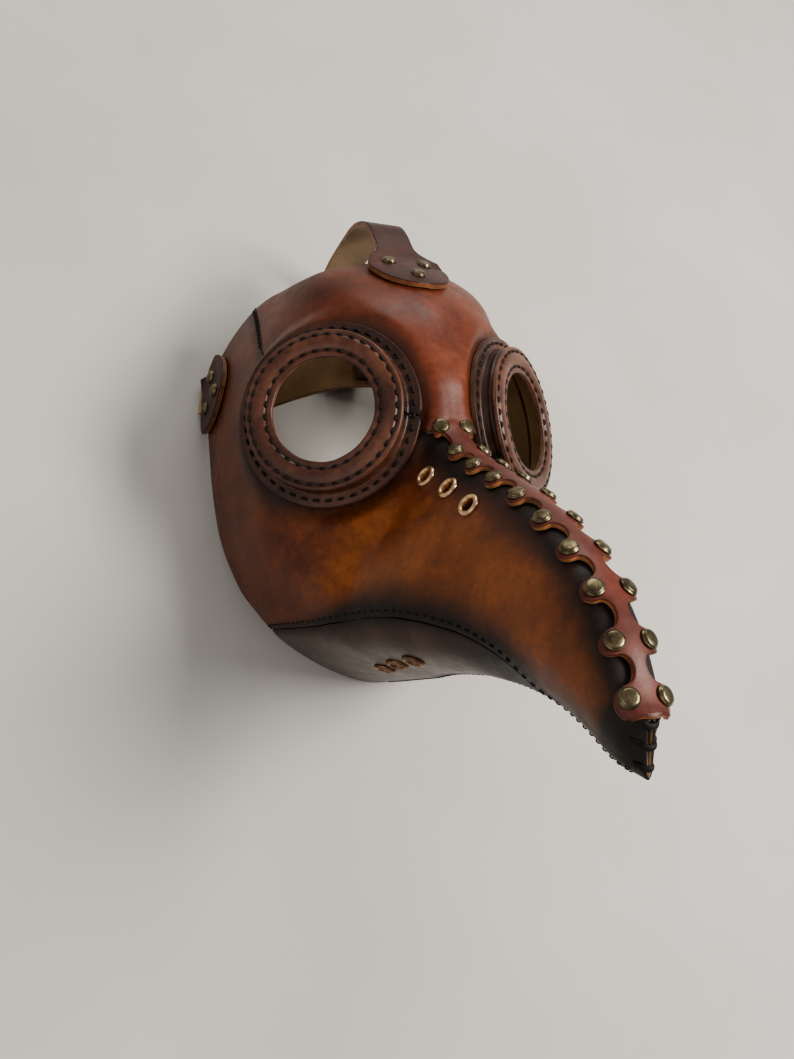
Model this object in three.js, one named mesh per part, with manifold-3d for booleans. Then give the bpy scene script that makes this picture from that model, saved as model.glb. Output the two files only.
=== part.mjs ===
// Plague doctor mask in leather, lying loose on its rim with the beak in the air. Units are millimetres.
// The shell is laid out as it is worn: x to the wearer's left, y backward and z up. That frame is then tipped
// forward onto the rim, so backward becomes down. The straps are laid out in the floor's own frame.
import * as THREE from "three";
import { mergeVertices } from "three/addons/utils/BufferGeometryUtils.js";
import Module from "manifold-3d";

const wasm = await Module();
wasm.setup();

// Leather and gaps
const GAP = 0.35; // between pieces that touch on the real mask
const LEATHER = 3; // face, side and lower panels
const STRIP_LEATHER = 2.6; // where the forehead piece runs down the beak as a strip
const STRAP_LEATHER = 2.8;
const STRAP_WIDTH = 21;
const CLEARANCE = 0.15; // room cut above a seat, so that a coarse shell can't touch what sits on it

// Eyes: a stitched flange on the face, a short tube, and a flat ring in front
const EYE_CENTRE = [47.9, -25.3, 23.2]; // left eye, on the face under the flange
const EYE_YAW = 38.1; // degrees outward
const EYE_PITCH = 3.1; // degrees upward
const EYE_OPENING = 25; // radius
const RING_RADIUS = 38.5;
const RING_THICK = 3;
const FLANGE_RADIUS = 45;
const FLANGE_THICK = 2.5;
const TUBE_WALL = 3.5;
const EYE_HEIGHT = 12; // face to the ring's front
const SEAT_BLEND = 11; // how far beyond the flange the face bends to meet it
const LIFT_BLEND = 3.5; // how far beyond the flange the forehead piece rises onto the beak

// Beak strip: its edge runs in waves, out round each rivet and in between them
const RIVETS = 10; // each side
const FIRST_RIVET = 5; // section that holds the first pair
const LAST_RIVET = FIRST_RIVET + RIVETS - 1;
const RIVET_ARC = 6.3; // from the ridge, along the leather
const RIVET_RADIUS = 3.9;
const RIVET_HEIGHT = 2;
const RIVET_GAP = 0.45; // under a head, over curved leather
const FIRST_RIVET_GAP = 0.9; // more under the first pair, where the strip bends up from the nose
const STRIP_ARC = 6.6; // from the ridge to the middle of the wave
const WAVE = 3.9; // how far the wave goes out and in
const STRIP_LIFT = GAP + STRIP_LEATHER + 0.1; // outer face of the strip above the side panels
const STRIP_END = 14.4;

// Straps: each starts in an egg-shaped tab. Its widest place and its end, where it is as narrow as the strap, are
// distances from its tip, and so are the stations that get a row of points on the shell. Its rivets are a distance
// from the tip and one across.
const TAB_GAP = 0.8; // tab above the curved leather that it is riveted to
const TOP_TAB = {
  tip: 2.64, centre: 0, sectionLength: 46, half: 21, widest: 25, end: 46,
  stations: [0.5, 3.5, 10, 18, 27], rivets: [[9.5, 0], [26, 9.5], [26, -9.5]],
};
const SIDE_TAB = {
  tip: 0.63, centre: 2.8, sectionLength: 47, half: 22.5, widest: 22, end: 28,
  stations: [0.5, 3.5, 10, 18, 24, 28], rivets: [[8, 0], [19, 9], [19, -9]],
};

// Buckle: a wire frame that lies flat on the floor behind the mask
const WIRE = 1.2; // radius
const LYING_STRAP = STRAP_LEATHER / 2; // middle of a strap on the floor
const HINGE_Y = 112;
const BUCKLE_LENGTH = 18; // between its two bars
const FOLD_RADIUS = 1.5 * WIRE + GAP + STRAP_LEATHER / 2; // middle of the leather that is folded round a bar
const BAR_HEIGHT = LYING_STRAP + FOLD_RADIUS;
const BAND_CREST = 45; // middle of the leather at the top of the side band's arch

// Lying pose
const TIP_FORWARD = -74.35; // degrees about x, from worn to lying
const FLOOR_DROP = 65.6; // worn origin above the floor

// Sections of the shell from behind the ears to the beak's tip. Each lies in a plane that holds the x axis and
// goes from a top point to a bottom point on the mid-plane, given as [y, z]. The half-widths stand at
// WIDTH_AT, in shares of the way down, and are nothing at both ends.
const WIDTH_AT = [0, 0.05, 0.18, 0.38, 0.58, 0.76, 0.9, 1];
const SECTIONS = [
  { top: [80, 140], bottom: [80, -112], widths: [44, 70, 83, 83, 77, 57] }, // behind the ears
  { top: [30, 127], bottom: [40, -107], widths: [42, 64, 79, 83, 77, 57] },
  { top: [-10, 107], bottom: [8, -105], widths: [41, 56, 70, 77, 74, 57] }, // top of the forehead
  { top: [-43, 75], bottom: [-22, -103], widths: [26, 36, 41, 53, 62, 51] },
  { top: [-57, 38], bottom: [-36, -102], widths: [13, 20, 31, 45, 56, 45] }, // between the eyes
  { top: [-57, 14], bottom: [-48, -100.5], widths: [10, 18, 31, 44, 50, 39] }, // first rivets
  { top: [-72.5, -1], bottom: [-62, -99.8], widths: [10, 19, 32, 42, 45, 34] },
  { top: [-89, -10.5], bottom: [-74, -99.8], widths: [10, 19, 30, 38, 39, 29] },
  { top: [-106, -19], bottom: [-87, -100], widths: [9.8, 17, 26, 32, 32, 23] },
  { top: [-123.5, -28.5], bottom: [-100, -101.5], widths: [9.4, 15.5, 22, 26, 24.5, 16.5] },
  { top: [-141.3, -40], bottom: [-114, -103.5], widths: [9, 14, 19, 21, 18.5, 11] },
  { top: [-158, -53], bottom: [-128, -106.5], widths: [8.7, 13, 17, 17.5, 14.5, 8.5] },
  { top: [-171.5, -68], bottom: [-143, -111], widths: [8.4, 12, 15, 15, 12, 7] },
  { top: [-181, -86], bottom: [-157, -118], widths: [8, 10.8, 12.6, 12, 9.3, 5.5] },
  { top: [-187.5, -104.5], bottom: [-172, -127], widths: [6.5, 8.6, 9.2, 8.3, 6.2, 4] }, // last rivets
  { top: [-191.5, -112], bottom: [-187.5, -132], widths: [3.2, 3.4, 3.4, 3.3, 3.2, 2.7] }, // tip
];
const TIP = SECTIONS.length - 1;
const KEEL = WIDTH_AT.length - 1;

// Edges of the panels on one half, as [section, step]: the step counts along WIDTH_AT from the ridge (0) to the
// keel (7). The ends of edges that meet are the same point.
const FOREHEAD_RIM = [[1.95, 0], [1.85, 0.4], [1.8, 0.75], [1.62, 1.15], [1.28, 1.43], [0.9, 1.62], [0.62, 1.8]];
const SIDE_RIM = [
  [0.62, 1.8], [0.38, 2.1], [0.25, 2.27], [0.05, 2.55], [0.02, 2.8], [0.08, 3], [0.15, 3.18], [0.25, 3.45],
  [0.33, 3.83], [0.45, 4.2], [0.6, 4.53], [0.8, 4.88], [0.95, 5.2], [1.33, 5.55], [1.47, 5.78],
];
const CHIN_RIM = [[1.47, 5.78], [1.38, 6.05], [1.25, 6.33], [1.15, 6.6], [1.08, 6.8], [1.05, 7]];
// From the temple across the eye hole and out on its nose side, to where the forehead piece becomes the strip
const BROW_SEAM = [
  [0.62, 1.8], [0.95, 2.05], [1.3, 2.33], [2, 2.6], [3, 2.65], [3.8, 2.4], [4.3, 1.85], [4.62, 1.35], [4.85, 1.1],
];
// Rows of points along that seam, by place in its list: fewer of them where it is flat under the eye
const SEAM_ROWS = [0, 0.5, 1, 1.5, 2, 3, 4, 5, 5.5, 6, 6.5, 7, 7.5, 8];
const RIDGE = [[1.95, 0], [2.2, 0], [2.5, 0], [2.9, 0], [3.4, 0], [3.8, 0], [4.2, 0], [4.55, 0], [4.85, 0]];
// The side panel's lower edge: one point for each point of its upper edge
const SIDE_SEAM = [
  [1.47, 5.78], [1.9, 5.75], [2.5, 5.7], [3.2, 5.58], [3.83, 5.38], [4.6, 5.18], [5.4, 4.98], [5.9, 4.88],
  [6.38, 4.8], [6.9, 4.75], [7.6, 4.75], [8.3, 4.79], [9, 4.84], [9.7, 5.03], [10.4, 5.42], [11.15, 6.5],
];
const SEAM_MEETS_KEEL = [[11.5, KEEL], [12.3, KEEL], [13.6, KEEL], [TIP, KEEL]];
const UNDER_STRIP = [5.4, 5.85, 6.5, 7.5, 8.7, 10, 11.2, 12.2, 13.2, 14.2, TIP].map((section) => [section, 0]);

const BEAK_EYELETS = [[5.55, 1.85], [6.7, 1.65], [7.8, 1.78]];
const CHIN_EYELETS = [[3.65, 6.48], [4.9, 6.37], [6.2, 6.22]];
const EYELET = { radius: 5.3, hole: 3, height: 1.5 };

const COLOURS = {
  forehead: 0x6e2f1e,
  side: 0x7a3d1c,
  lower: 0x3d2a26,
  eye: 0x6b3a2a,
  strap: 0x4a2620,
  rivet: 0x8a7444,
  eyelet: 0xb08a5a,
};

// Cubic through b and c, at share f of the way between them
function between(a, b, c, d, f) {
  return 0.5 * (2 * b + (c - a) * f + (2 * a - 5 * b + 4 * c - d) * f * f + (3 * (b - c) + d - a) * f * f * f);
}

// Value at t of a smooth line through numbers that stand at 0, 1, 2 and so on
function smoothAt(values, t) {
  const last = values.length - 1;
  const i = THREE.MathUtils.clamp(Math.floor(t), 0, last - 1);
  const before = i > 0 ? values[i - 1] : 2 * values[0] - values[1];
  const after = i + 2 <= last ? values[i + 2] : 2 * values[last] - values[last - 1];
  return between(before, values[i], values[i + 1], after, t - i);
}

// Point at share t of a smooth curve through points of any dimension
function curveAt(points, t) {
  return points[0].map((_, axis) => smoothAt(points.map((p) => p[axis]), t * (points.length - 1)));
}

const COLUMNS = {
  top: [0, 1].map((i) => SECTIONS.map((section) => section.top[i])),
  bottom: [0, 1].map((i) => SECTIONS.map((section) => section.bottom[i])),
  widths: SECTIONS[0].widths.map((_, i) => SECTIONS.map((section) => section.widths[i])),
};

const eyeNormal = new THREE.Vector3(0, -1, 0)
  .applyAxisAngle(new THREE.Vector3(1, 0, 0), -THREE.MathUtils.degToRad(EYE_PITCH))
  .applyAxisAngle(new THREE.Vector3(0, 0, 1), THREE.MathUtils.degToRad(EYE_YAW));
const eyeCentre = new THREE.Vector3(...EYE_CENTRE);

// How fully something holds at a point near the left eye: 1 under the flange, 0 past a distance from its edge
function seatShare(point, blend = SEAT_BLEND) {
  const radius = point.clone().sub(eyeCentre).projectOnPlane(eyeNormal).length();
  return 1 - THREE.MathUtils.smoothstep(radius, FLANGE_RADIUS, FLANGE_RADIUS + blend);
}

// Shell before the eyes are set in, left half; steps below 0 or past the keel are on the right half
function plainPoint(section, step) {
  if (step < 0) return plainPoint(section, -step).multiply(new THREE.Vector3(-1, 1, 1));
  if (step > KEEL) return plainPoint(section, 2 * KEEL - step).multiply(new THREE.Vector3(-1, 1, 1));
  const widths = COLUMNS.widths.map((column) => smoothAt(column, section));
  const across = [-widths[0], 0, ...widths, 0, -widths.at(-1)];
  const down = [WIDTH_AT[1], ...WIDTH_AT, WIDTH_AT.at(-2)];
  const i = Math.min(Math.floor(step), KEEL - 1);
  const x = between(...across.slice(i, i + 4), step - i);
  const share = between(...down.slice(i, i + 4), step - i);
  const [top, bottom] = [COLUMNS.top, COLUMNS.bottom].map((ends) => ends.map((column) => smoothAt(column, section)));
  return new THREE.Vector3(x, ...top.map((value, axis) => THREE.MathUtils.lerp(value, bottom[axis], share)));
}

// Outer face of the shell, left half
function shellPoint(section, step) {
  const point = plainPoint(section, step);
  if (point.x < 0) return point;
  const height = point.clone().sub(eyeCentre).dot(eyeNormal);
  return point.addScaledVector(eyeNormal, -height * seatShare(point));
}

// Direction out of the shell there
function shellNormal(section, step) {
  const small = 0.02;
  const along = shellPoint(Math.min(section + small, TIP), step).sub(shellPoint(Math.max(section - small, 0), step));
  const down = shellPoint(section, step + small).sub(shellPoint(section, step - small));
  return along.cross(down).normalize();
}

// Step that lies a given distance along the leather from another step of the same section
function stepAtArc(section, from, arc) {
  const stride = 0.02 * Math.sign(arc);
  let step = from;
  let point = shellPoint(section, step);
  for (let left = Math.abs(arc); left > 0; ) {
    const next = shellPoint(section, step + stride);
    const length = next.distanceTo(point);
    step += stride * Math.min(1, left / length);
    left -= length;
    point = next;
  }
  return step;
}

// Outer face of the forehead piece above the shell: nothing on the forehead, a full strip on the beak
function crownLift(section, step) {
  const onBeak = THREE.MathUtils.smoothstep(section, 4.15, 4.85);
  return STRIP_LIFT * onBeak * (1 - seatShare(shellPoint(section, step), LIFT_BLEND));
}

// Half-width of the strip along the leather: it curves out round each whole section, where a rivet stands, and in
// round each half section, less so between the first two rivets
function stripArc(section) {
  const fromRivet = Math.abs(section - Math.round(section));
  if (fromRivet < 0.25) return STRIP_ARC + WAVE * Math.sqrt(1 - (fromRivet / 0.25) ** 2);
  if (section > LAST_RIVET) return STRIP_ARC + WAVE / 2; // cut straight across
  const shallower = section < FIRST_RIVET + 1 ? 0.4 : 1;
  return STRIP_ARC - WAVE * shallower * Math.sqrt(1 - ((0.5 - fromRivet) / 0.25) ** 2);
}

// Closed body between an outer and an inner grid of points
function plate(outer, inner) {
  const rows = outer.length;
  const columns = outer[0].length;
  const points = [...outer.flat(), ...inner.flat()];
  const at = (face, row, column) => face * rows * columns + row * columns + column;
  const index = [];
  const quad = (a, b, c, d) => index.push(a, b, c, a, c, d);
  for (let row = 0; row + 1 < rows; row++) {
    for (let column = 0; column + 1 < columns; column++) {
      quad(at(0, row, column), at(0, row + 1, column), at(0, row + 1, column + 1), at(0, row, column + 1));
      quad(at(1, row, column), at(1, row, column + 1), at(1, row + 1, column + 1), at(1, row + 1, column));
    }
    quad(at(0, row, 0), at(1, row, 0), at(1, row + 1, 0), at(0, row + 1, 0));
    const edge = columns - 1;
    quad(at(0, row, edge), at(0, row + 1, edge), at(1, row + 1, edge), at(1, row, edge));
  }
  for (let column = 0; column + 1 < columns; column++) {
    quad(at(0, 0, column), at(0, 0, column + 1), at(1, 0, column + 1), at(1, 0, column));
    const end = rows - 1;
    quad(at(0, end, column), at(1, end, column), at(1, end, column + 1), at(0, end, column + 1));
  }
  return facingOut(points, index);
}

// Geometry from points and triangles, turned over if its faces point inwards
function facingOut(points, index) {
  let volume = 0;
  for (let i = 0; i < index.length; i += 3) {
    const [a, b, c] = [points[index[i]], points[index[i + 1]], points[index[i + 2]]];
    volume += a.dot(b.clone().cross(c));
  }
  if (volume < 0) index.reverse();
  return new THREE.BufferGeometry().setFromPoints(points).setIndex(index);
}

function merged(geometry) {
  const bare = geometry.clone();
  bare.deleteAttribute("normal");
  bare.deleteAttribute("uv");
  return mergeVertices(bare, 1e-4);
}

function solidOf(geometry) {
  const closed = merged(geometry);
  const mesh = { numProp: 3, vertProperties: closed.attributes.position.array };
  return new wasm.Manifold(new wasm.Mesh({ ...mesh, triVerts: new Uint32Array(closed.index.array) }));
}

function geometryOf(solid) {
  const mesh = solid.getMesh();
  return new THREE.BufferGeometry()
    .setAttribute("position", new THREE.BufferAttribute(mesh.vertProperties, 3))
    .setIndex(new THREE.BufferAttribute(mesh.triVerts, 1));
}

// Geometry less the cutters; specks that a cutter leaves beside the body are dropped
function cut(geometry, cutters) {
  const left = cutters.reduce((solid, cutter) => solid.subtract(solidOf(cutter)), solidOf(geometry));
  const bodies = left.decompose().sort((a, b) => b.volume() - a.volume());
  return geometryOf(bodies[0]);
}

// Turned body about its local y axis; the profile is a list of [radius, height]
function turned(profile, segments) {
  return new THREE.LatheGeometry(profile.map((p) => new THREE.Vector2(...p)), segments);
}

const UP = new THREE.Vector3(0, 1, 0);
const ACROSS = new THREE.Vector3(1, 0, 0);

// Matrix that stands a turned body on a point, its axis along a direction
function standing(point, direction) {
  const turn = new THREE.Quaternion().setFromUnitVectors(UP, direction);
  return new THREE.Matrix4().compose(point, turn, new THREE.Vector3(1, 1, 1));
}

function onSide(vector, side) {
  return new THREE.Vector3(vector.x * side, vector.y, vector.z);
}

// Where a fitting stands on the shell: the point and the direction out of it
function spotOn(section, step, lift, side) {
  const normal = shellNormal(section, step);
  const point = shellPoint(section, step).addScaledVector(normal, lift);
  return { point: onSide(point, side), normal: onSide(normal, side) };
}

const SIDES = [["right", -1], ["left", 1]]; // the wearer's
const mask = new THREE.Group(); // the shell and all that is fixed to it, in the worn frame
const onFloor = new THREE.Group(); // the floor's frame, before the origin is moved
onFloor.add(mask);

function addMesh(parent, name, geometry, colour, roughness = 0.6, metalness = 0) {
  const material = new THREE.MeshStandardMaterial({ color: colour, roughness, metalness });
  const mesh = new THREE.Mesh(geometry, material);
  mesh.name = name;
  parent.add(mesh);
  return mesh;
}

// Cutters through the shell at each eye: the hole, and room for the flange above its seat
function eyeCutters(side) {
  const sides = 16;
  const hole = FLANGE_RADIUS - 5;
  const room = (FLANGE_RADIUS + GAP) / Math.cos(Math.PI / sides);
  const floor = CLEARANCE;
  const profile = [[0, -30], [hole, -30], [hole, floor], [room, floor], [room, 25], [0, 25]];
  return turned(profile, sides).applyMatrix4(standing(onSide(eyeCentre, side), onSide(eyeNormal, side)));
}

function eyeletCutter(section, step, side) {
  const { point, normal } = spotOn(section, step, 0, side);
  const room = EYELET.radius + GAP;
  const floor = CLEARANCE;
  const profile = [[0, -10], [EYELET.hole, -10], [EYELET.hole, floor], [room, floor], [room, 6], [0, 6]];
  return turned(profile, 8).applyMatrix4(standing(point, normal));
}

// Inner point of a panel: the leather's thickness inwards, but never past the mid-plane
function innerPoint(outer, normal, thickness) {
  const point = outer.clone().addScaledVector(normal, -thickness);
  if (outer.x >= 0) point.x = Math.max(point.x, GAP / 2);
  return point;
}

// Panel of one half from four edges, by a blend of the edges that meets each of them
function panel({ upper, lower, head, tail, stations, across, side }) {
  const outer = [];
  const inner = [];
  for (const station of stations) {
    const u = station / (upper.length - 1);
    const [outerRow, innerRow] = [[], []];
    for (let j = 0; j <= across; j++) {
      const v = j / across;
      const [a, b, c, d] = [curveAt(upper, u), curveAt(lower, u), curveAt(head, v), curveAt(tail, v)];
      const [section, step] = a.map((_, axis) => {
        const edges = a[axis] * (1 - v) + b[axis] * v + c[axis] * (1 - u) + d[axis] * u;
        const first = upper[0][axis] * (1 - v) + lower[0][axis] * v;
        const last = upper.at(-1)[axis] * (1 - v) + lower.at(-1)[axis] * v;
        return edges - first * (1 - u) - last * u;
      });
      const clampedStep = THREE.MathUtils.clamp(step, 0, KEEL);
      const clampedSection = THREE.MathUtils.clamp(section, 0, TIP);
      const point = shellPoint(clampedSection, clampedStep);
      const normal = shellNormal(clampedSection, clampedStep);
      point.x = Math.max(point.x, GAP / 2);
      outerRow.push(onSide(point, side));
      innerRow.push(onSide(innerPoint(point, normal, LEATHER), side));
    }
    outer.push(outerRow);
    inner.push(innerRow);
  }
  return plate(outer, inner);
}

// An edge moved along the leather by half a gap, so that the panels on both sides of it stay apart
function beside(edge, arc) {
  return edge.map(([section, step]) => {
    if (step < 0.3 || step > KEEL - 0.3) return [section, step];
    return [section, stepAtArc(section, step, arc)];
  });
}

function sidePanel(side) {
  const upper = [...beside(BROW_SEAM, GAP / 2), ...UNDER_STRIP];
  const lower = [...beside(SIDE_SEAM, -GAP / 2), ...SEAM_MEETS_KEEL.slice(-(upper.length - SIDE_SEAM.length))];
  const head = [...SIDE_RIM];
  head[0] = upper[0];
  head[head.length - 1] = lower[0];
  const tail = [[TIP, 0], [TIP, KEEL]];
  const stations = [...SEAM_ROWS, ...UNDER_STRIP.map((_, i) => BROW_SEAM.length + i)];
  const geometry = panel({ upper, lower, head, tail, stations, across: 6, side });
  const eyelets = BEAK_EYELETS.map(([section, step]) => eyeletCutter(section, step, side));
  return cut(geometry, [eyeCutters(side), ...eyelets]);
}

function lowerPanel(side) {
  const upper = beside(SIDE_SEAM, GAP / 2);
  const lower = upper.map(([section]) => [section, KEEL]);
  lower[0] = CHIN_RIM.at(-1);
  const head = [upper[0], ...CHIN_RIM.slice(1)];
  const tail = [upper.at(-1), lower.at(-1)];
  const stations = upper.map((_, i) => i);
  const geometry = panel({ upper, lower, head, tail, stations, across: 3, side });
  return cut(geometry, CHIN_EYELETS.map(([section, step]) => eyeletCutter(section, step, side)));
}

// Forehead and beak strip in one piece, across both halves
function crown() {
  const across = 4;
  const outer = [];
  const inner = [];
  const addRow = (place) => {
    const [outerRow, innerRow] = [[], []];
    for (let j = -across; j <= across; j++) {
      const [section, step] = place(Math.abs(j) / across);
      const normal = shellNormal(section, step);
      const lift = crownLift(section, step);
      const thickness = THREE.MathUtils.lerp(LEATHER, STRIP_LEATHER, lift / STRIP_LIFT);
      const point = shellPoint(section, step).addScaledVector(normal, lift);
      const side = Math.sign(j) || 1;
      if (j === 0) point.x = normal.x = 0;
      outerRow.push(onSide(point, side));
      innerRow.push(onSide(point.clone().addScaledVector(normal, -thickness), side));
    }
    outer.push(outerRow);
    inner.push(innerRow);
  };
  const edge = beside(BROW_SEAM, -GAP / 2);
  for (const row of SEAM_ROWS) {
    const u = row / (edge.length - 1);
    addRow((v) => {
      const [ridge, seam] = [curveAt(RIDGE, u), curveAt(edge, u)];
      const rim = curveAt([...FOREHEAD_RIM.slice(0, -1), edge[0]], v);
      return ridge.map((_, axis) => {
        const straight = THREE.MathUtils.lerp(ridge[axis], seam[axis], v);
        const bow = rim[axis] - THREE.MathUtils.lerp(RIDGE[0][axis], edge[0][axis], v);
        return Math.max(0, straight + bow * (1 - u));
      });
    });
  }
  const shares = [0.19, 0.38, 0.62, 0.81];
  for (let section = FIRST_RIVET; section < STRIP_END; section++) {
    for (const share of shares) {
      const here = section + share;
      if (here > STRIP_END) continue;
      addRow((v) => [here, v === 0 ? 0 : stepAtArc(here, 0, v * stripArc(here))]);
    }
  }
  const blank = plate(outer, inner);
  return cut(blank, SIDES.map(([, side]) => eyeCutters(side)));
}

function addShell() {
  addMesh(mask, "crown_panel", crown(), COLOURS.forehead);
  for (const [label, side] of SIDES) {
    addMesh(mask, `side_panel_${label}`, sidePanel(side), COLOURS.side);
    addMesh(mask, `lower_panel_${label}`, lowerPanel(side), COLOURS.lower);
  }
}

function addEyes() {
  const segments = 24;
  const tubeTop = EYE_HEIGHT - RING_THICK - GAP;
  const tubeInside = RING_RADIUS - TUBE_WALL;
  const flangeTop = GAP + FLANGE_THICK;
  const band = [
    [tubeInside, GAP], [FLANGE_RADIUS, GAP], [FLANGE_RADIUS, flangeTop], [RING_RADIUS, flangeTop],
    [RING_RADIUS, tubeTop], [tubeInside, tubeTop], [tubeInside, GAP],
  ];
  const back = EYE_HEIGHT - RING_THICK;
  const rounding = 0.8;
  const ring = [
    [EYE_OPENING, back], [RING_RADIUS, back], [RING_RADIUS, EYE_HEIGHT - rounding],
    [RING_RADIUS - rounding, EYE_HEIGHT], [EYE_OPENING, EYE_HEIGHT], [EYE_OPENING, back],
  ];
  for (const [label, side] of SIDES) {
    const eye = new THREE.Group();
    eye.position.copy(onSide(eyeCentre, side));
    eye.quaternion.setFromUnitVectors(UP, onSide(eyeNormal, side));
    mask.add(eye);
    addMesh(eye, `eye_band_${label}`, merged(turned(band, segments)), COLOURS.eye);
    addMesh(eye, `eye_ring_${label}`, merged(turned(ring, segments)), COLOURS.eye);
  }
}

function rivetGeometry() {
  const profile = [[0, 0], [RIVET_RADIUS, 0], [RIVET_RADIUS * 0.7, RIVET_HEIGHT * 0.8], [0, RIVET_HEIGHT]];
  return merged(turned(profile, 7));
}

function addRivet(name, section, step, lift, side) {
  const { point, normal } = spotOn(section, step, lift + RIVET_GAP, side);
  const rivet = addMesh(mask, name, rivetGeometry(), COLOURS.rivet, 0.35, 0.9);
  rivet.position.copy(point);
  rivet.quaternion.setFromUnitVectors(UP, normal);
}

function addBeakRivets() {
  for (const [label, side] of SIDES) {
    for (let i = 0; i < RIVETS; i++) {
      const section = FIRST_RIVET + i;
      const step = stepAtArc(section, 0, RIVET_ARC);
      const more = i === 0 ? FIRST_RIVET_GAP : 0;
      addRivet(`beak_rivet_${label}_${i + 1}`, section, step, crownLift(section, step) + more, side);
    }
  }
}

function addEyelets() {
  const { radius, hole, height } = EYELET;
  const profile = [[hole, GAP], [radius, GAP], [(radius + hole) / 2, height], [hole, GAP]];
  const rows = [["beak", BEAK_EYELETS], ["chin", CHIN_EYELETS]];
  for (const [label, side] of SIDES) {
    for (const [place, spots] of rows) {
      spots.forEach(([section, step], i) => {
        const { point, normal } = spotOn(section, step, 0, side);
        const name = `${place}_eyelet_${label}_${i + 1}`;
        const eyelet = addMesh(mask, name, merged(turned(profile, 8)), COLOURS.eyelet, 0.35, 0.9);
        eyelet.position.copy(point);
        eyelet.quaternion.setFromUnitVectors(UP, normal);
      });
    }
  }
}

// Strap: rows of points across it, outer face and inner face, in the floor's frame
class Ribbon {
  outer = [];
  inner = [];

  constructor(cells) {
    this.cells = cells; // on each side of the strap's middle
  }

  addRow(rowOf) {
    const shares = Array.from({ length: 2 * this.cells + 1 }, (_, i) => i / this.cells - 1);
    const pairs = shares.map(rowOf);
    this.outer.push(pairs.map((pair) => pair[0]));
    this.inner.push(pairs.map((pair) => pair[1]));
  }

  // A row on the shell, centred on a spot of it and bent to it
  onShell(section, centre, halfWidth, side) {
    this.addRow((share) => {
      const step = share === 0 ? centre : stepAtArc(section, centre, halfWidth * share);
      const flip = step < 0 ? -side : side;
      const { point, normal } = spotOn(section, Math.abs(step), TAB_GAP, flip);
      const top = point.clone().addScaledVector(normal, STRAP_LEATHER);
      return [mask.localToWorld(top), mask.localToWorld(point)];
    });
  }

  // Flat rows along a path of points through the leather's middle, one row for each point
  along(path, acrossAt, halfWidthAt = () => STRAP_WIDTH / 2) {
    path.forEach((point, i) => {
      const ahead = path[Math.min(i + 1, path.length - 1)];
      const behind = path[Math.max(i - 1, 0)];
      const tangent = ahead.clone().sub(behind).normalize();
      const across = acrossAt(i).clone();
      across.addScaledVector(tangent, -across.dot(tangent)).normalize();
      const lift = across.clone().cross(tangent).multiplyScalar(STRAP_LEATHER / 2);
      this.addRow((share) => {
        const spot = point.clone().addScaledVector(across, halfWidthAt(i) * share);
        return [spot.clone().add(lift), spot.sub(lift)];
      });
    });
  }

  // Middle of the last row
  end() {
    const [outer, inner] = [this.outer, this.inner].map((rows) => rows.at(-1)[this.cells]);
    return outer.clone().lerp(inner, 0.5);
  }

  // Direction across the last row
  endAcross() {
    const row = this.outer.at(-1);
    return row.at(-1).clone().sub(row[0]).normalize();
  }

  // Adds the rows again in reverse, mirrored in x
  mirror() {
    for (const rows of [this.outer, this.inner]) {
      const others = rows.slice(0, -1).reverse();
      rows.push(...others.map((row) => row.map((point) => onSide(point, -1))));
    }
  }

  geometry() {
    return plate(this.outer, this.inner);
  }
}

// Half-width of a strap at a distance from the tip of its tab
function tabHalfWidth(distance, tab) {
  const toWidest = Math.max(0, 1 - distance / tab.widest);
  const narrowing = THREE.MathUtils.smoothstep(distance, tab.widest, tab.end);
  return THREE.MathUtils.lerp(tab.half * Math.sqrt(1 - toWidest ** 2), STRAP_WIDTH / 2, narrowing);
}

// The tab's rows on the shell
function addTab(ribbon, tab, side) {
  for (const distance of tab.stations) {
    const halfWidth = tabHalfWidth(distance, tab);
    ribbon.onShell(tab.tip - distance / tab.sectionLength, tab.centre, halfWidth, side);
  }
}

function addTabRivets(name, tab, side) {
  tab.rivets.forEach(([distance, arc], i) => {
    const section = tab.tip - distance / tab.sectionLength;
    const step = arc === 0 ? tab.centre : stepAtArc(section, tab.centre, arc);
    const mirrored = step < 0 ? -side : side;
    addRivet(`${name}_${i + 1}`, section, Math.abs(step), TAB_GAP + STRAP_LEATHER, mirrored);
  });
}

// Points in the plane of the floor's y and z, smoothed into a path
function uprightPath(points, count) {
  const curve = new THREE.CatmullRomCurve3(points.map(([y, z]) => new THREE.Vector3(0, y, z)));
  return curve.getSpacedPoints(count);
}

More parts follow.
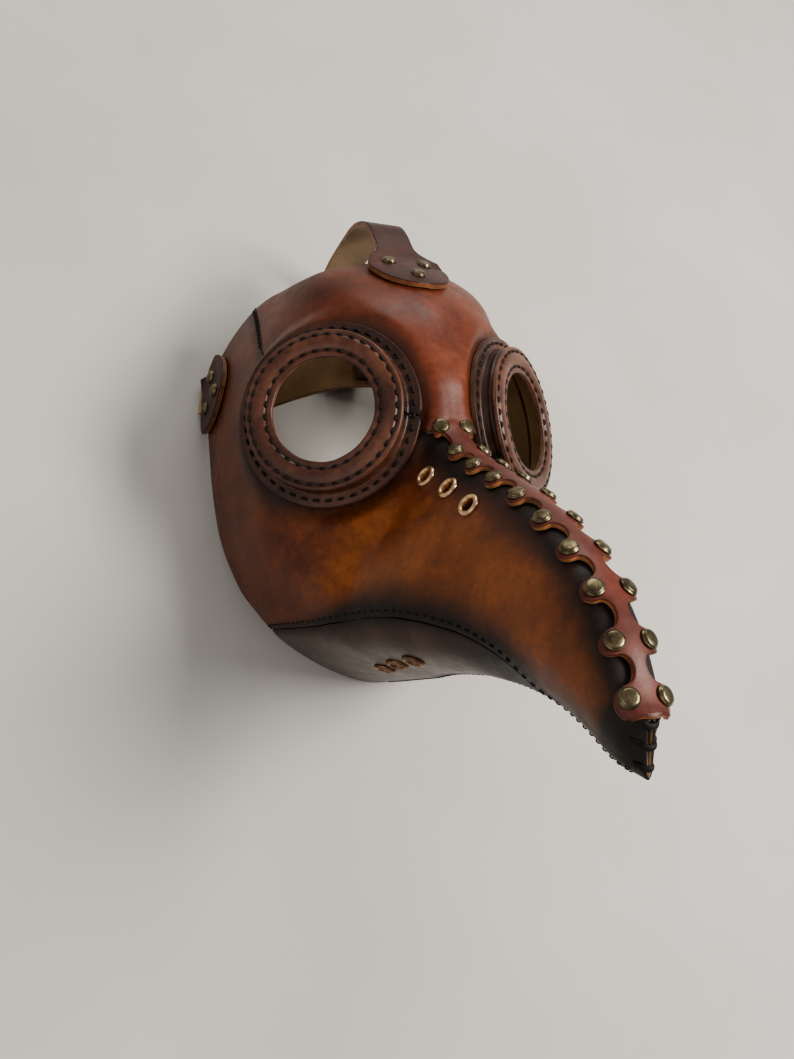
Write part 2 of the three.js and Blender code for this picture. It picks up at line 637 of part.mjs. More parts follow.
// The top strap stands out stiffly past the forehead's rim, bends down behind it, as it would over a head, and its
// end folds round the buckle
function addTopStrap() {
  const ribbon = new Ribbon(2);
  addTab(ribbon, TOP_TAB, 1);
  const last = ribbon.end();
  const onward = [[6, -4], [12, -7], [20, -9.8], [28, -12.6], [37, -18]].map(([y, z]) => [last.y + y, last.z + z]);
  const drop = [[146.5, 75], [150, 53], [151, 31], [147.5, 11], [139, 3]];
  const floor = [[131, LYING_STRAP], [HINGE_Y + 6, LYING_STRAP]];
  const path = uprightPath([[last.y, last.z], ...onward, ...drop, ...floor], 13).slice(1);
  const onShell = TOP_TAB.stations.at(-1);
  const spacing = path[1].distanceTo(path[0]);
  for (const angle of [-90, -45, 0, 45, 90]) {
    const turn = THREE.MathUtils.degToRad(angle);
    const [y, z] = [HINGE_Y - FOLD_RADIUS * Math.cos(turn), BAR_HEIGHT + FOLD_RADIUS * Math.sin(turn)];
    path.push(new THREE.Vector3(0, y, z));
  }
  const doubled = LYING_STRAP + STRAP_LEATHER + GAP;
  path.push(new THREE.Vector3(0, HINGE_Y + 9, doubled + 0.9), new THREE.Vector3(0, HINGE_Y + 19, doubled));
  ribbon.along(path, () => ACROSS, (i) => tabHalfWidth(onShell + (i + 1) * spacing, TOP_TAB));
  addMesh(onFloor, "top_strap", ribbon.geometry(), COLOURS.strap);
  addTabRivets("top_tab_rivet", TOP_TAB, 1);
}

// The strap's rear part: through the buckle from below, then up to the band, where two rivets hold it
function addRearStrap(bandY) {
  const over = BAR_HEIGHT + FOLD_RADIUS + STRAP_LEATHER + GAP + 0.5;
  const far = HINGE_Y - BUCKLE_LENGTH;
  const onBand = BAND_CREST + STRAP_LEATHER + GAP + 0.3;
  const points = [
    [HINGE_Y + 26, LYING_STRAP + 7.5], [HINGE_Y + 16, over - 1.8], [HINGE_Y + 5, over], [HINGE_Y - 3, over - 0.4],
    [far + 9, over / 2], [far + 4, LYING_STRAP + 0.8], [far, LYING_STRAP], [far - 5, LYING_STRAP + 1.5],
    [bandY + 16, 14], [bandY + 17, 36], [bandY + 15, onBand - 3], [bandY + 10.5, onBand + 0.9],
    [bandY + 4, onBand], [bandY - 3, onBand], [bandY - 10, onBand],
  ];
  const ribbon = new Ribbon(1);
  const pointed = (i) => (STRAP_WIDTH / 2) * Math.min(1, 0.3 + 0.45 * i);
  ribbon.along(uprightPath(points, 26), () => ACROSS, pointed);
  addMesh(onFloor, "rear_strap", ribbon.geometry(), COLOURS.strap);
  for (const [i, y] of [bandY + 3, bandY - 6].entries()) {
    const rivet = addMesh(onFloor, `band_rivet_${i + 1}`, rivetGeometry(), COLOURS.rivet, 0.35, 0.9);
    rivet.position.set(0, y, onBand + STRAP_LEATHER / 2 + RIVET_GAP + 0.2);
    rivet.rotation.x = Math.PI / 2;
  }
}

// The band joins the side tabs: from each it turns in under the rim, which rests on it, and rises in a slack arch
function addBand() {
  const ribbon = new Ribbon(2);
  addTab(ribbon, SIDE_TAB, 1);
  const { x, y, z } = ribbon.end();
  const foot = [[x + 0.5, z - 4], [x + 0.4, 4.2], [x - 0.5, 2.2], [x - 2.6, LYING_STRAP], [72, LYING_STRAP]];
  const arch = [[63, 3.6], [52, 12], [40, 24], [27, 35], [13, 42.5], [0, BAND_CREST]];
  const path = [...foot, ...arch].map(([pathX, pathZ]) => new THREE.Vector3(pathX, y, pathZ));
  const start = ribbon.endAcross();
  const level = new THREE.Vector3(0, -1, 0);
  ribbon.along(path, (i) => start.clone().lerp(level, THREE.MathUtils.smoothstep(i, 0, 3)));
  ribbon.mirror();
  addMesh(onFloor, "side_band", ribbon.geometry(), COLOURS.strap);
  for (const [label, side] of SIDES) addTabRivets(`side_tab_rivet_${label}`, SIDE_TAB, side);
  return y;
}

// Wire frame of the buckle, bent from one piece
function addBuckle() {
  const width = STRAP_WIDTH + 2 * WIRE + 3;
  const frame = new THREE.Shape();
  const [halfX, halfY] = [width / 2, BUCKLE_LENGTH / 2];
  const outline = (path, grow) => {
    path.moveTo(-halfX - grow, -halfY - grow);
    path.lineTo(halfX + grow, -halfY - grow);
    path.lineTo(halfX + grow, halfY + grow);
    path.lineTo(-halfX - grow, halfY + grow);
    path.closePath();
    return path;
  };
  outline(frame, WIRE);
  frame.holes.push(outline(new THREE.Path(), -WIRE));
  const geometry = new THREE.ExtrudeGeometry(frame, { depth: 2 * WIRE, bevelEnabled: false });
  const buckle = addMesh(onFloor, "buckle_frame", merged(geometry), COLOURS.rivet, 0.4, 0.9);
  buckle.position.set(0, HINGE_Y - BUCKLE_LENGTH / 2, BAR_HEIGHT - WIRE);
}

mask.rotation.x = THREE.MathUtils.degToRad(TIP_FORWARD);
mask.position.z = FLOOR_DROP;
mask.updateMatrixWorld(true);

addShell();
addEyes();
addBeakRivets();
addEyelets();
addTopStrap();
addRearStrap(addBand());
addBuckle();

// Origin: on the floor, under the middle of all of it
const object = new THREE.Group();
const box = new THREE.Box3().setFromObject(onFloor, true);
const middle = box.getCenter(new THREE.Vector3());
onFloor.position.set(-middle.x, -middle.y, -box.min.z);
object.add(onFloor);
object.updateMatrixWorld(true);

export default object;
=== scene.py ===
"""Plague doctor mask in leather, lying loose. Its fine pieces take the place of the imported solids.

Points are worked out in millimetres in two frames. The worn frame has x to the wearer's left, y backward and
z up. The floor frame is the worn frame tipped forward onto the mask's rim. Arrays of points have x, y and z
on their last axis, and in_metres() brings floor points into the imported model's frame.
"""

import math

import bpy
import numpy as np
from mathutils import Matrix, Vector
from mathutils.kdtree import KDTree


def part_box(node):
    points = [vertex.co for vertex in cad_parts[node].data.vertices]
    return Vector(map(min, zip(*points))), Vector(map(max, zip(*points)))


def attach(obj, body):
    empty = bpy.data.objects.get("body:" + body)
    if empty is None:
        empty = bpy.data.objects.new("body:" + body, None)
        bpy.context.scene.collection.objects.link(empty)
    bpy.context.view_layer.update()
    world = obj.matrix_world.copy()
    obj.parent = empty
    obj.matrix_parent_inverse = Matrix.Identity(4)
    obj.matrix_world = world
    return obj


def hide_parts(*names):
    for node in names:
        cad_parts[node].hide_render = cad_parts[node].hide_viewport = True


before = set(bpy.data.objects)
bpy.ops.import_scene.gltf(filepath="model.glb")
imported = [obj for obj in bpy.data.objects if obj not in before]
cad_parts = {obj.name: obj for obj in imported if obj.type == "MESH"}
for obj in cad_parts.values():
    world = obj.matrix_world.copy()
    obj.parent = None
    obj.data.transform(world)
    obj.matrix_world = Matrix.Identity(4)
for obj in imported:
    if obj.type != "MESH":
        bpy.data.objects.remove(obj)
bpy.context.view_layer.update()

# Leather and gaps, as in the solids
GAP = 0.35
LEATHER = 3.0
STRIP_LEATHER = 2.6
STRAP_LEATHER = 2.8
STRAP_WIDTH = 21.0
SKIVE = 0.45  # share of its thickness that a side panel loses toward the beak's tip
SKIVE_REACH = 0.8  # sections over which it does

# Eyes
EYE_CENTRE = (47.9, -25.3, 23.2)
EYE_YAW = 38.1  # degrees, like the pitch
EYE_PITCH = 3.1
EYE_OPENING = 25.0
EYE_HEIGHT = 12.0
RING_RADIUS = 38.5
RING_THICK = 3.0
FLANGE_RADIUS = 45.0
FLANGE_THICK = 2.5
FLANGE_TOP = GAP + FLANGE_THICK
TUBE_WALL = 3.5
TUBE_TOP = EYE_HEIGHT - RING_THICK - GAP
TUBE_FILLET = 1.4
SEAT_BLEND = 11.0  # past the flange, where the shell goes from flat to round
LIFT_BLEND = 3.5  # past the flange, where the strip is clear of it
EYE_HOLE = FLANGE_RADIUS - 5
BAND_JOINT = {-1: 96, 1: 236}  # clock angle where the band's two ends meet, in degrees
BAND_CORNER = 3.6  # radius of the flange's corners beside the joint
RING_ROWS = (28.3, 36.0)  # radii of the ring's two rows of stitches
FLANGE_ROW = 41.9
RING_ROUND = 0.9  # radius of the ring's rounded edges
RING_SEGMENTS = 180

# Beak strip
RIVETS = 10
FIRST_RIVET = 5
LAST_RIVET = FIRST_RIVET + RIVETS - 1
RIVET_ARC = 6.3
RIVET_RADIUS = 3.9
RIVET_HEIGHT = 1.7
RIM_HEIGHT = 0.62  # where a rivet's rolled rim ends and its dome begins
BEAK_RIVET_GAP = 0.25
STRAP_RIVET_GAP = 0.2
LOBE_HALF = 4.7  # half-width of a lobe, along the strip
LOBE_OUT = 4.3  # its reach from the rivet, across the strip
BITE_IN = 3.8
FIRST_BITE = 0.4  # share of that depth for the bite beside the forehead
STRIP_LIFT = GAP + STRIP_LEATHER
LIFT_SECTIONS = (4.15, 4.85)  # between them the strip climbs onto the side panels
STRIP_START = 4.9
STRIP_END = 14.4
STRIP_END_BULGE = 0.4  # sections by which the middle of the strip's end reaches past its corners

# Straps and their egg-shaped tabs
TAB_GAP = 0.8
TOP_TAB = {
    "tip": 2.64, "centre": 0.0, "section_length": 46.0, "half": 21.0, "widest": 25.0, "end": 46.0,
    "leaves": 27.0, "rivets": [(9.5, 0), (26, 9.5), (26, -9.5)],
}
SIDE_TAB = {
    "tip": 0.63, "centre": 2.8, "section_length": 47.0, "half": 22.5, "widest": 22.0, "end": 28.0,
    "leaves": 28.0, "rivets": [(8, 0), (19, 9), (19, -9)],
}
STRAP_ROW = 1.6  # distance between rows of points along a strap
STRAP_POINT = 9.0  # length of the rear strap's rounded end
STRAP_HOLES = [11.0, 20.0, 29.0]  # distances from the rear strap's end to its punched holes
HOLE_RADIUS = 1.5
BAND_CREST = 45.0

# Buckle
WIRE = 1.2
PRONG_WRAP = 1.9  # radius at which the prong goes round the wire
LYING_STRAP = STRAP_LEATHER / 2
HINGE_Y = 112.0
BUCKLE_LENGTH = 18.0
FOLD_RADIUS = 1.5 * WIRE + GAP + STRAP_LEATHER / 2
BAR_HEIGHT = LYING_STRAP + FOLD_RADIUS

# Lying pose
TIP_FORWARD = -74.35  # degrees
FLOOR_DROP = 65.6

# Stitches along a seam, as pitch, length and radius
SIDE_STITCH = (4.3, 2.58, 0.4)
TEMPLE_STITCH = (3.8, 4.0, 0.27)
KEEL_STITCH = (4.4, 3.0, 0.34)
SEAM_MARGIN = 3.0  # from the side seam to its stitches

# Sections of the shell: a top and a bottom point on the mid-plane as (y, z), and half-widths at WIDTH_AT
WIDTH_AT = np.array([0, 0.05, 0.18, 0.38, 0.58, 0.76, 0.9, 1])
SECTIONS = [
    ((80, 140), (80, -112), (44, 70, 83, 83, 77, 57)),
    ((30, 127), (40, -107), (42, 64, 79, 83, 77, 57)),
    ((-10, 107), (8, -105), (41, 56, 70, 77, 74, 57)),
    ((-43, 75), (-22, -103), (26, 36, 41, 53, 62, 51)),
    ((-57, 38), (-36, -102), (13, 20, 31, 45, 56, 45)),
    ((-57, 14), (-48, -100.5), (10, 18, 31, 44, 50, 39)),
    ((-72.5, -1), (-62, -99.8), (10, 19, 32, 42, 45, 34)),
    ((-89, -10.5), (-74, -99.8), (10, 19, 30, 38, 39, 29)),
    ((-106, -19), (-87, -100), (9.8, 17, 26, 32, 32, 23)),
    ((-123.5, -28.5), (-100, -101.5), (9.4, 15.5, 22, 26, 24.5, 16.5)),
    ((-141.3, -40), (-114, -103.5), (9, 14, 19, 21, 18.5, 11)),
    ((-158, -53), (-128, -106.5), (8.7, 13, 17, 17.5, 14.5, 8.5)),
    ((-171.5, -68), (-143, -111), (8.4, 12, 15, 15, 12, 7)),
    ((-181, -86), (-157, -118), (8, 10.8, 12.6, 12, 9.3, 5.5)),
    ((-187.5, -104.5), (-172, -127), (6.5, 8.6, 9.2, 8.3, 6.2, 4)),
    ((-191.5, -112), (-187.5, -132), (3.2, 3.4, 3.4, 3.3, 3.2, 2.7)),
]
TIP = len(SECTIONS) - 1
KEEL = len(WIDTH_AT) - 1
TOPS, BOTTOMS, WIDTHS = (np.array([row[i] for row in SECTIONS], float) for i in range(3))

# Edges of the panels on one half, as (section, step); steps count along WIDTH_AT from the ridge to the keel
FOREHEAD_RIM = [(1.95, 0), (1.85, 0.4), (1.8, 0.75), (1.62, 1.15), (1.28, 1.43), (0.9, 1.62), (0.62, 1.8)]
SIDE_RIM = [
    (0.62, 1.8), (0.38, 2.1), (0.25, 2.27), (0.05, 2.55), (0.02, 2.8), (0.08, 3), (0.15, 3.18), (0.25, 3.45),
    (0.33, 3.83), (0.45, 4.2), (0.6, 4.53), (0.8, 4.88), (0.95, 5.2), (1.33, 5.55), (1.47, 5.78),
]
CHIN_RIM = [(1.47, 5.78), (1.38, 6.05), (1.25, 6.33), (1.15, 6.6), (1.08, 6.8), (1.05, 7)]
BROW_SEAM = [
    (0.62, 1.8), (0.95, 2.05), (1.3, 2.33), (2, 2.6), (3, 2.65), (3.8, 2.4), (4.3, 1.85), (4.62, 1.35),
    (4.85, 1.1),
]
RIDGE = [(1.95, 0), (2.2, 0), (2.5, 0), (2.9, 0), (3.4, 0), (3.8, 0), (4.2, 0), (4.55, 0), (4.85, 0)]
SIDE_SEAM = [
    (1.47, 5.78), (1.9, 5.75), (2.5, 5.7), (3.2, 5.58), (3.83, 5.38), (4.6, 5.18), (5.4, 4.98), (5.9, 4.88),
    (6.38, 4.8), (6.9, 4.75), (7.6, 4.75), (8.3, 4.79), (9, 4.84), (9.7, 5.03), (10.4, 5.42), (11.15, 6.5),
]
SEAM_ON_KEEL = [(11.5, KEEL), (12.3, KEEL), (13.6, KEEL), (TIP, KEEL)]
UNDER_STRIP = [(section, 0) for section in (5.4, 5.85, 6.5, 7.5, 8.7, 10, 11.2, 12.2, 13.2, 14.2, TIP)]
STEP_REACH = 2.6  # steps to either side within which distances along the leather are worked out
ON_MIDDLE = 0.3  # an edge that comes this near to the ridge or the keel, in steps, runs on it

TIP_LACES = [1.4, 3.3, 5.2]  # steps down the open front edge
LACE_REACH = 5.0  # from the front edge back to a lace's hole
BEAK_EYELETS = [(5.55, 1.85), (6.7, 1.65), (7.8, 1.78)]
CHIN_EYELETS = [(3.65, 6.48), (4.9, 6.37), (6.2, 6.22)]
EYELET_RADIUS = 5.3
EYELET_HOLE = 3.0

SIDES = [("right", -1), ("left", 1)]  # the wearer's
X_AXIS = np.array([1.0, 0, 0])
Z_AXIS = np.array([0, 0, 1.0])
SHARP_ANGLE = 50  # edges with a sharper turn, in degrees, are shaded as edges


# Smooth curves and the shell's surface, the same as in the solids


def between(a, b, c, d, f):
    """Cubic through b and c, at share f of the way between them."""
    return 0.5 * (2 * b + (c - a) * f + (2 * a - 5 * b + 4 * c - d) * f * f + (3 * (b - c) + d - a) * f**3)


def smooth_at(values, t):
    """Value at t of a smooth line through values that stand at 0, 1, 2 and so on."""
    values = np.asarray(values, float)
    t = np.asarray(t, float)
    i = np.clip(np.floor(t).astype(int), 0, len(values) - 2)
    padded = np.concatenate([[2 * values[0] - values[1]], values, [2 * values[-1] - values[-2]]])
    f = (t - i).reshape(t.shape + (1,) * (values.ndim - 1))
    return between(*(padded[i + k] for k in range(4)), f)


def curve_at(points, share):
    """Points at shares of the way along a smooth curve."""
    return smooth_at(points, np.asarray(share, float) * (len(points) - 1))


def smoothstep(value, low, high):
    t = np.clip((np.asarray(value, float) - low) / (high - low), 0, 1)
    return t * t * (3 - 2 * t)


def fade(value, near, far):
    """1 up to the near value, and down to 0 at the far one."""
    return 1 - smoothstep(value, near, far)


def mix(first, second, share):
    return first * (1 - share) + second * share


def unit(vectors):
    return vectors / np.maximum(np.linalg.norm(vectors, axis=-1, keepdims=True), 1e-12)


def lengths_along(line):
    """Distance along a line of points to each of them."""
    return np.concatenate([[0], np.cumsum(np.linalg.norm(np.diff(line, axis=0), axis=-1))])


def read_along(values, lengths, wanted):
    """Vectors that are known at distances along a line, read at other distances."""
    return np.stack([np.interp(wanted, lengths, column) for column in np.asarray(values, float).T], -1)


def turned_about(axis, degrees):
    """Rotation matrix as an array."""
    return np.array(Matrix.Rotation(math.radians(degrees), 3, axis))


eye_centre = np.array(EYE_CENTRE)
eye_normal = turned_about("Z", EYE_YAW) @ turned_about("X", -EYE_PITCH) @ np.array([0.0, -1, 0])


def eye_radius(points):
    """Distance from the left eye's axis."""
    from_centre = points - eye_centre
    height = from_centre @ eye_normal
    return np.linalg.norm(from_centre - height[..., None] * eye_normal, axis=-1)


def seat_share(points, blend=SEAT_BLEND):
    """1 under the eye's flange, and 0 past a distance from its edge."""
    return fade(eye_radius(points), FLANGE_RADIUS, FLANGE_RADIUS + blend)


def plain_points(section, step):
    """Shell before the eyes are set in; steps below 0 or past the keel are on the right half."""
    section, step = np.broadcast_arrays(np.asarray(section, float), np.asarray(step, float))
    mirrored = (step < 0) | (step > KEEL)
    step = np.abs(step)
    step = np.where(step > KEEL, 2 * KEEL - step, step)
    widths = smooth_at(WIDTHS, section)
    nothing = np.zeros(widths.shape[:-1] + (1,))
    across = np.concatenate([-widths[..., :1], nothing, widths, nothing, -widths[..., -1:]], -1)
    down = np.concatenate([WIDTH_AT[1:2], WIDTH_AT, WIDTH_AT[-2:-1]])
    i = np.minimum(np.floor(step).astype(int), KEEL - 1)
    x = between(*(np.take_along_axis(across, (i + k)[..., None], -1)[..., 0] for k in range(4)), step - i)
    share = between(*(down[i + k] for k in range(4)), step - i)
    yz = mix(smooth_at(TOPS, section), smooth_at(BOTTOMS, section), share[..., None])
    return np.concatenate([np.where(mirrored, -x, x)[..., None], yz], -1)


def shell_points(section, step):
    """Outer face of the shell, in the worn frame."""
    points = plain_points(section, step)
    height = (points - eye_centre) @ eye_normal
    share = np.where(points[..., 0] < 0, 0, seat_share(points))
    return points - eye_normal * (height * share)[..., None]


def shell_normals(section, step):
    """Directions out of the shell, in the worn frame."""
    small = 0.02
    section, step = np.broadcast_arrays(np.asarray(section, float), np.asarray(step, float))
    ahead, behind = np.minimum(section + small, TIP), np.maximum(section - small, 0)
    along = shell_points(ahead, step) - shell_points(behind, step)
    down = shell_points(section, step + small) - shell_points(section, step - small)
    return unit(np.cross(along, down))


def on_left(spots):
    """Sections and steps from (section, step) on the last axis, kept within the left half."""
    return np.moveaxis(np.clip(spots, 0, [TIP, KEEL]), -1, 0)


def steps_at(section, start, arcs):
    """Steps at signed distances along the leather from a start step, on one section."""
    steps = start + np.linspace(-STEP_REACH, STEP_REACH, 521)
    lengths = lengths_along(shell_points(section, steps))
    return np.interp(arcs, lengths - lengths[len(lengths) // 2], steps)


def crown_lift(section, step):
    """Outer face of the forehead piece above the shell."""
    on_beak = smoothstep(section, *LIFT_SECTIONS)
    return STRIP_LIFT * on_beak * (1 - seat_share(shell_points(section, step), LIFT_BLEND))


def beside(edge, arc):
    """An edge moved along the leather, except where it runs on the ridge or the keel."""
    moved = []
    for section, step in edge:
        if ON_MIDDLE <= step <= KEEL - ON_MIDDLE:
            step = float(steps_at(section, step, arc))
        moved.append((section, step))
    return moved


# Frames


LYING = turned_about("X", TIP_FORWARD)


def on_side(points, side):
    """Points of the left half, or with side -1 their mirror images."""
    return points * np.array([side, 1, 1])


def floor_direction(vectors, side=1):
    """Worn directions in the floor frame."""
    return on_side(vectors, side) @ LYING.T


def to_floor(points, side=1):
    """Worn points in the floor frame."""
    return floor_direction(points, side) + np.array([0, 0, FLOOR_DROP])


def floor_shift():
    """Where the floor frame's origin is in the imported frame, in metres, read off the buckle."""
    low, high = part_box("buckle_frame")
    middle = np.array((low + high) / 2)
    return middle - np.array([0, HINGE_Y - BUCKLE_LENGTH / 2, BAR_HEIGHT]) / 1000


SHIFT = floor_shift()


def in_metres(floor_points):
    return np.asarray(floor_points) / 1000 + SHIFT


# Meshes


def grid_quads(rows, columns, rows_close=False, columns_close=False):
    """Quads of a grid of points, whose last row or column can join the first."""
    row, column = np.indices((rows - (not rows_close), columns - (not columns_close))).reshape(2, -1)
    below, beyond = (row + 1) % rows, (column + 1) % columns
    corners = [(row, column), (below, column), (below, beyond), (row, beyond)]
    return np.stack([r * columns + c for r, c in corners], -1)


def rim_of(rows, columns):
    """Indices round the edge of a grid, once."""
    top = np.arange(columns - 1)
    right = np.arange(rows - 1) * columns + columns - 1
    bottom = (rows - 1) * columns + np.arange(columns - 1, 0, -1)
    left = np.arange(rows - 1, 0, -1) * columns
    return np.concatenate([top, right, bottom, left])


def resampled(line, spacing):
    """Points at even distances along a line."""
    lengths = lengths_along(line)
    count = max(2, round(lengths[-1] / spacing) + 1)
    return read_along(line, lengths, np.linspace(0, lengths[-1], count))


def distances_to(points, line, spacing=0.3):
    """Distance of each point from a line, which is closed up to points a short spacing apart."""
    marks = resampled(line, spacing)
    tree = KDTree(len(marks))
    for i, mark in enumerate(marks):
        tree.insert(mark, i)
    tree.balance()
    return np.array([tree.find(point)[2] for point in points.reshape(-1, 3)]).reshape(points.shape[:-1])


def distances_to_edge(points, edge):
    """Distance of worn points from an edge that is given as (section, step)."""
    return distances_to(points, shell_points(*on_left(curve_at(edge, np.linspace(0, 1, 300)))), 1.0)


def signed_volume(points, faces):
    """Six times the volume inside closed faces, below 0 where they face inwards."""
    total = 0.0
    for face in faces:
        corners = points[list(face)]
        total += corners[0] @ np.cross(corners[1:-1], corners[2:]).sum(axis=0)
    return total


def new_object(name, data):
    """Object in the scene that holds a mesh, a light or a camera."""
    made = bpy.data.objects.new(name, data)
    bpy.context.scene.collection.objects.link(made)
    return made


def add_piece(name, points, faces, materials, nodes=(), kinds=None, marks=None):
    """A piece from floor points. kinds gives each face's material, and marks each point's named amounts."""
    mesh = bpy.data.meshes.new(name)
    placed = in_metres(points)
    placed[:, 2] = np.maximum(placed[:, 2], 0)  # what rests on the floor lies flat on it
    mesh.from_pydata(placed.tolist(), [], [tuple(int(i) for i in face) for face in faces])
    for material in materials:
        mesh.materials.append(material)
    if kinds is not None:
        mesh.polygons.foreach_set("material_index", np.asarray(kinds, np.int32))
    for label, amounts in (marks or {}).items():
        attribute = mesh.attributes.new(label, "FLOAT", "POINT")
        attribute.data.foreach_set("value", np.asarray(amounts, np.float32).ravel())
    mesh.shade_smooth()
    mesh.set_sharp_from_angle(angle=math.radians(SHARP_ANGLE))
    mesh.validate()
    piece = new_object(name, mesh)
    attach(piece, "root")
    if nodes:
        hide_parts(*nodes)
    return piece


def rounded_drop(distance, radius):
    """How far a surface lies below its plane at a distance from a rounded edge."""
    inside = np.clip(radius - distance, 0, radius)
    return radius - np.sqrt(radius**2 - inside**2)


def leather_slab(name, outer, inner, materials, node, marks, rim=0.7):
    """Closed piece of leather between two grids, its edges rounded: grain side, cut edge and flesh side."""
    rows, columns = outer.shape[:2]
    count = rows * columns
    edge = rim_of(rows, columns)
    distance = distances_to(outer, outer.reshape(-1, 3)[np.append(edge, edge[0])])
    distance.reshape(-1)[edge] = 0
    inward = unit(inner - outer)
    top = outer + inward * rounded_drop(distance, rim)[..., None]
    low = inner - inward * rounded_drop(distance, rim * 0.6)[..., None]
    points = np.concatenate([top.reshape(-1, 3), low.reshape(-1, 3)])
    over = grid_quads(rows, columns)
    after = np.roll(edge, -1)
    wall = np.stack([after, edge, edge + count, after + count], -1)
    faces = np.concatenate([over, over[:, ::-1] + count, wall])
    if signed_volume(points, faces) < 0:
        faces = faces[:, ::-1]
    kinds = np.repeat([0, 2, 1], [len(over), len(over), len(wall)])
    amounts = {**marks, "edge": fade(distance, 0.2, 2.2)}
    doubled = {label: np.tile(amount.ravel(), 2) for label, amount in amounts.items()}
    return add_piece(name, points, faces, materials, [node], kinds, doubled)


def lines_across(length, count, start=True, end=True):
    """Shares of a length, evenly spaced but closer beside the ends that are edges."""
    close = np.array([0, 0.12, 0.32, 0.65])
    length = np.asarray(length, float)[..., None]
    first = close / length if start else np.zeros(1) / length
    last = 1 - close[::-1] / length if end else 1 + np.zeros(1) / length
    even = np.linspace(0, 1, count + 2)[1:-1]
    low, high = first[..., -1:], last[..., :1]
    return np.concatenate([first, low + (high - low) * even, last], -1)


def cut_holes(piece, bodies):
    """Cuts closed bodies, given as (floor points, faces), out of a piece."""
    points, faces = joined(bodies)
    mesh = bpy.data.meshes.new("cutter")
    mesh.from_pydata(in_metres(points).tolist(), [], faces)
    cutter = new_object("cutter", mesh)
    modifier = piece.modifiers.new("holes", "BOOLEAN")
    modifier.operation = "DIFFERENCE"
    modifier.solver = "EXACT"
    modifier.object = cutter
    cut = bpy.data.meshes.new_from_object(piece.evaluated_get(bpy.context.evaluated_depsgraph_get()))
    piece.modifiers.clear()
    whole = piece.data
    cut.name = whole.name + "_cut"
    piece.data = cut
    bpy.data.objects.remove(cutter)
    for old in (whole, mesh):
        bpy.data.meshes.remove(old)


def turned(profile, segments, centre, normal, closed=True):
    """Body turned from a profile of (radius, height) about a normal: floor points and faces."""
    profile = np.asarray(profile, float)
    normal = unit(np.asarray(normal, float))
    first = unit(np.cross([0.0, 0, 1] if abs(normal[2]) < 0.9 else X_AXIS, normal))
    second = np.cross(normal, first)
    angle = np.linspace(0, 2 * math.pi, segments, endpoint=False)[:, None, None]
    ring = np.cos(angle) * first + np.sin(angle) * second
    points = centre + profile[:, :1] * ring + profile[:, 1:] * normal
    return points.reshape(-1, 3), grid_quads(segments, len(profile), True, closed).tolist()


def capped(profile, segments, centre, normal):
    """Solid body turned from a profile whose two ends lie on the axis."""
    points, faces = turned(profile[1:-1], segments, centre, normal, closed=False)
    along = unit(np.asarray(normal, float))
    start, end = len(points), len(points) + 1
    last = len(profile) - 3
    for k in range(segments):
        here, after = k * (last + 1), (k + 1) % segments * (last + 1)
        faces.append((here, start, after))
        faces.append((after + last, end, here + last))
    return np.concatenate([points, [centre + along * profile[i][1] for i in (0, -1)]]), faces


def joined(bodies):
    """Several closed bodies' points and faces as one, all of them facing outwards."""
    faces = []
    first = 0
    for points, body_faces in bodies:
        order = -1 if signed_volume(points, body_faces) < 0 else 1
        faces += [tuple(int(i) + first for i in face)[::order] for face in body_faces]
        first += len(points)
    return np.concatenate([points for points, _ in bodies]), faces


def add_bodies(name, bodies, material, nodes=()):
    """Several closed bodies of one material as one piece."""
    points, faces = joined(bodies)
    add_piece(name, points, faces, [material], nodes)


def tangents_of(path):
    """Directions along a path at each of its points."""
    return unit(np.gradient(path, axis=0))


def swept(path, across, above, half_width, half_height, sides, closed=False):
    """Tube along a path, with an oval section in two directions at each point; closed joins its two ends."""
    angle = np.linspace(0, 2 * math.pi, sides, endpoint=False)
    wide = np.outer(np.broadcast_to(half_width, len(path)), np.cos(angle))[..., None]
    high = np.outer(np.broadcast_to(half_height, len(path)), np.sin(angle))[..., None]
    across, above = (np.broadcast_to(direction, path.shape)[:, None] for direction in (across, above))
    points = (path[:, None] + wide * across + high * above).reshape(-1, 3)
    faces = grid_quads(len(path), sides, closed, True).tolist()
    if not closed:
        faces += [range(sides), range(len(points) - 1, len(points) - 1 - sides, -1)]
    return points, faces


def spot_on(section, step, lift, side):
    """Floor point above the shell and the direction out of it there; a step below 0 is across the ridge."""
    side = -side if step < 0 else side
    normal = shell_normals(section, abs(step))
    return to_floor(shell_points(section, abs(step)) + normal * lift, side), floor_direction(normal, side)


# Thread


THREAD_PLACES = np.array([-1, -0.82, -0.45, 0, 0.45, 0.82, 1])  # along a stitch, from its middle
THREAD_HEIGHTS = np.array([-0.9, 0, 0.75, 0.9, 0.75, 0, -0.9])  # in radii; the ends are sunk into the leather
THREAD_THICK = np.array([0.55, 0.95, 1, 1, 1, 0.95, 0.55])


def stitches(line, normals, pitch, length, radius, slant=0.0):
    """Stitches along a line on leather, each a thread that rises from its holes; a slant turns them."""
    lengths = lengths_along(line)
    whole = lengths[-1]
    count = max(1, int(whole / pitch))
    middles = (np.arange(count) + 0.5) * whole / count
    behind, ahead = (read_along(line, lengths, np.clip(middles + d, 0, whole)) for d in (-0.5, 0.5))
    along = unit(ahead - behind)
    up = unit(read_along(normals, lengths, middles))
    turn = math.radians(slant)
    direction = along * math.cos(turn) + np.cross(up, along) * math.sin(turn)
    thick = THREAD_THICK * radius
    bodies = []
    for c, d, u in zip(read_along(line, lengths, middles), direction, up):
        path = c + np.outer(THREAD_PLACES * length / 2, d) + np.outer(THREAD_HEIGHTS * radius, u)
        bodies.append(swept(path, np.cross(u, d), u, thick, thick * 0.8, 6))
    return bodies


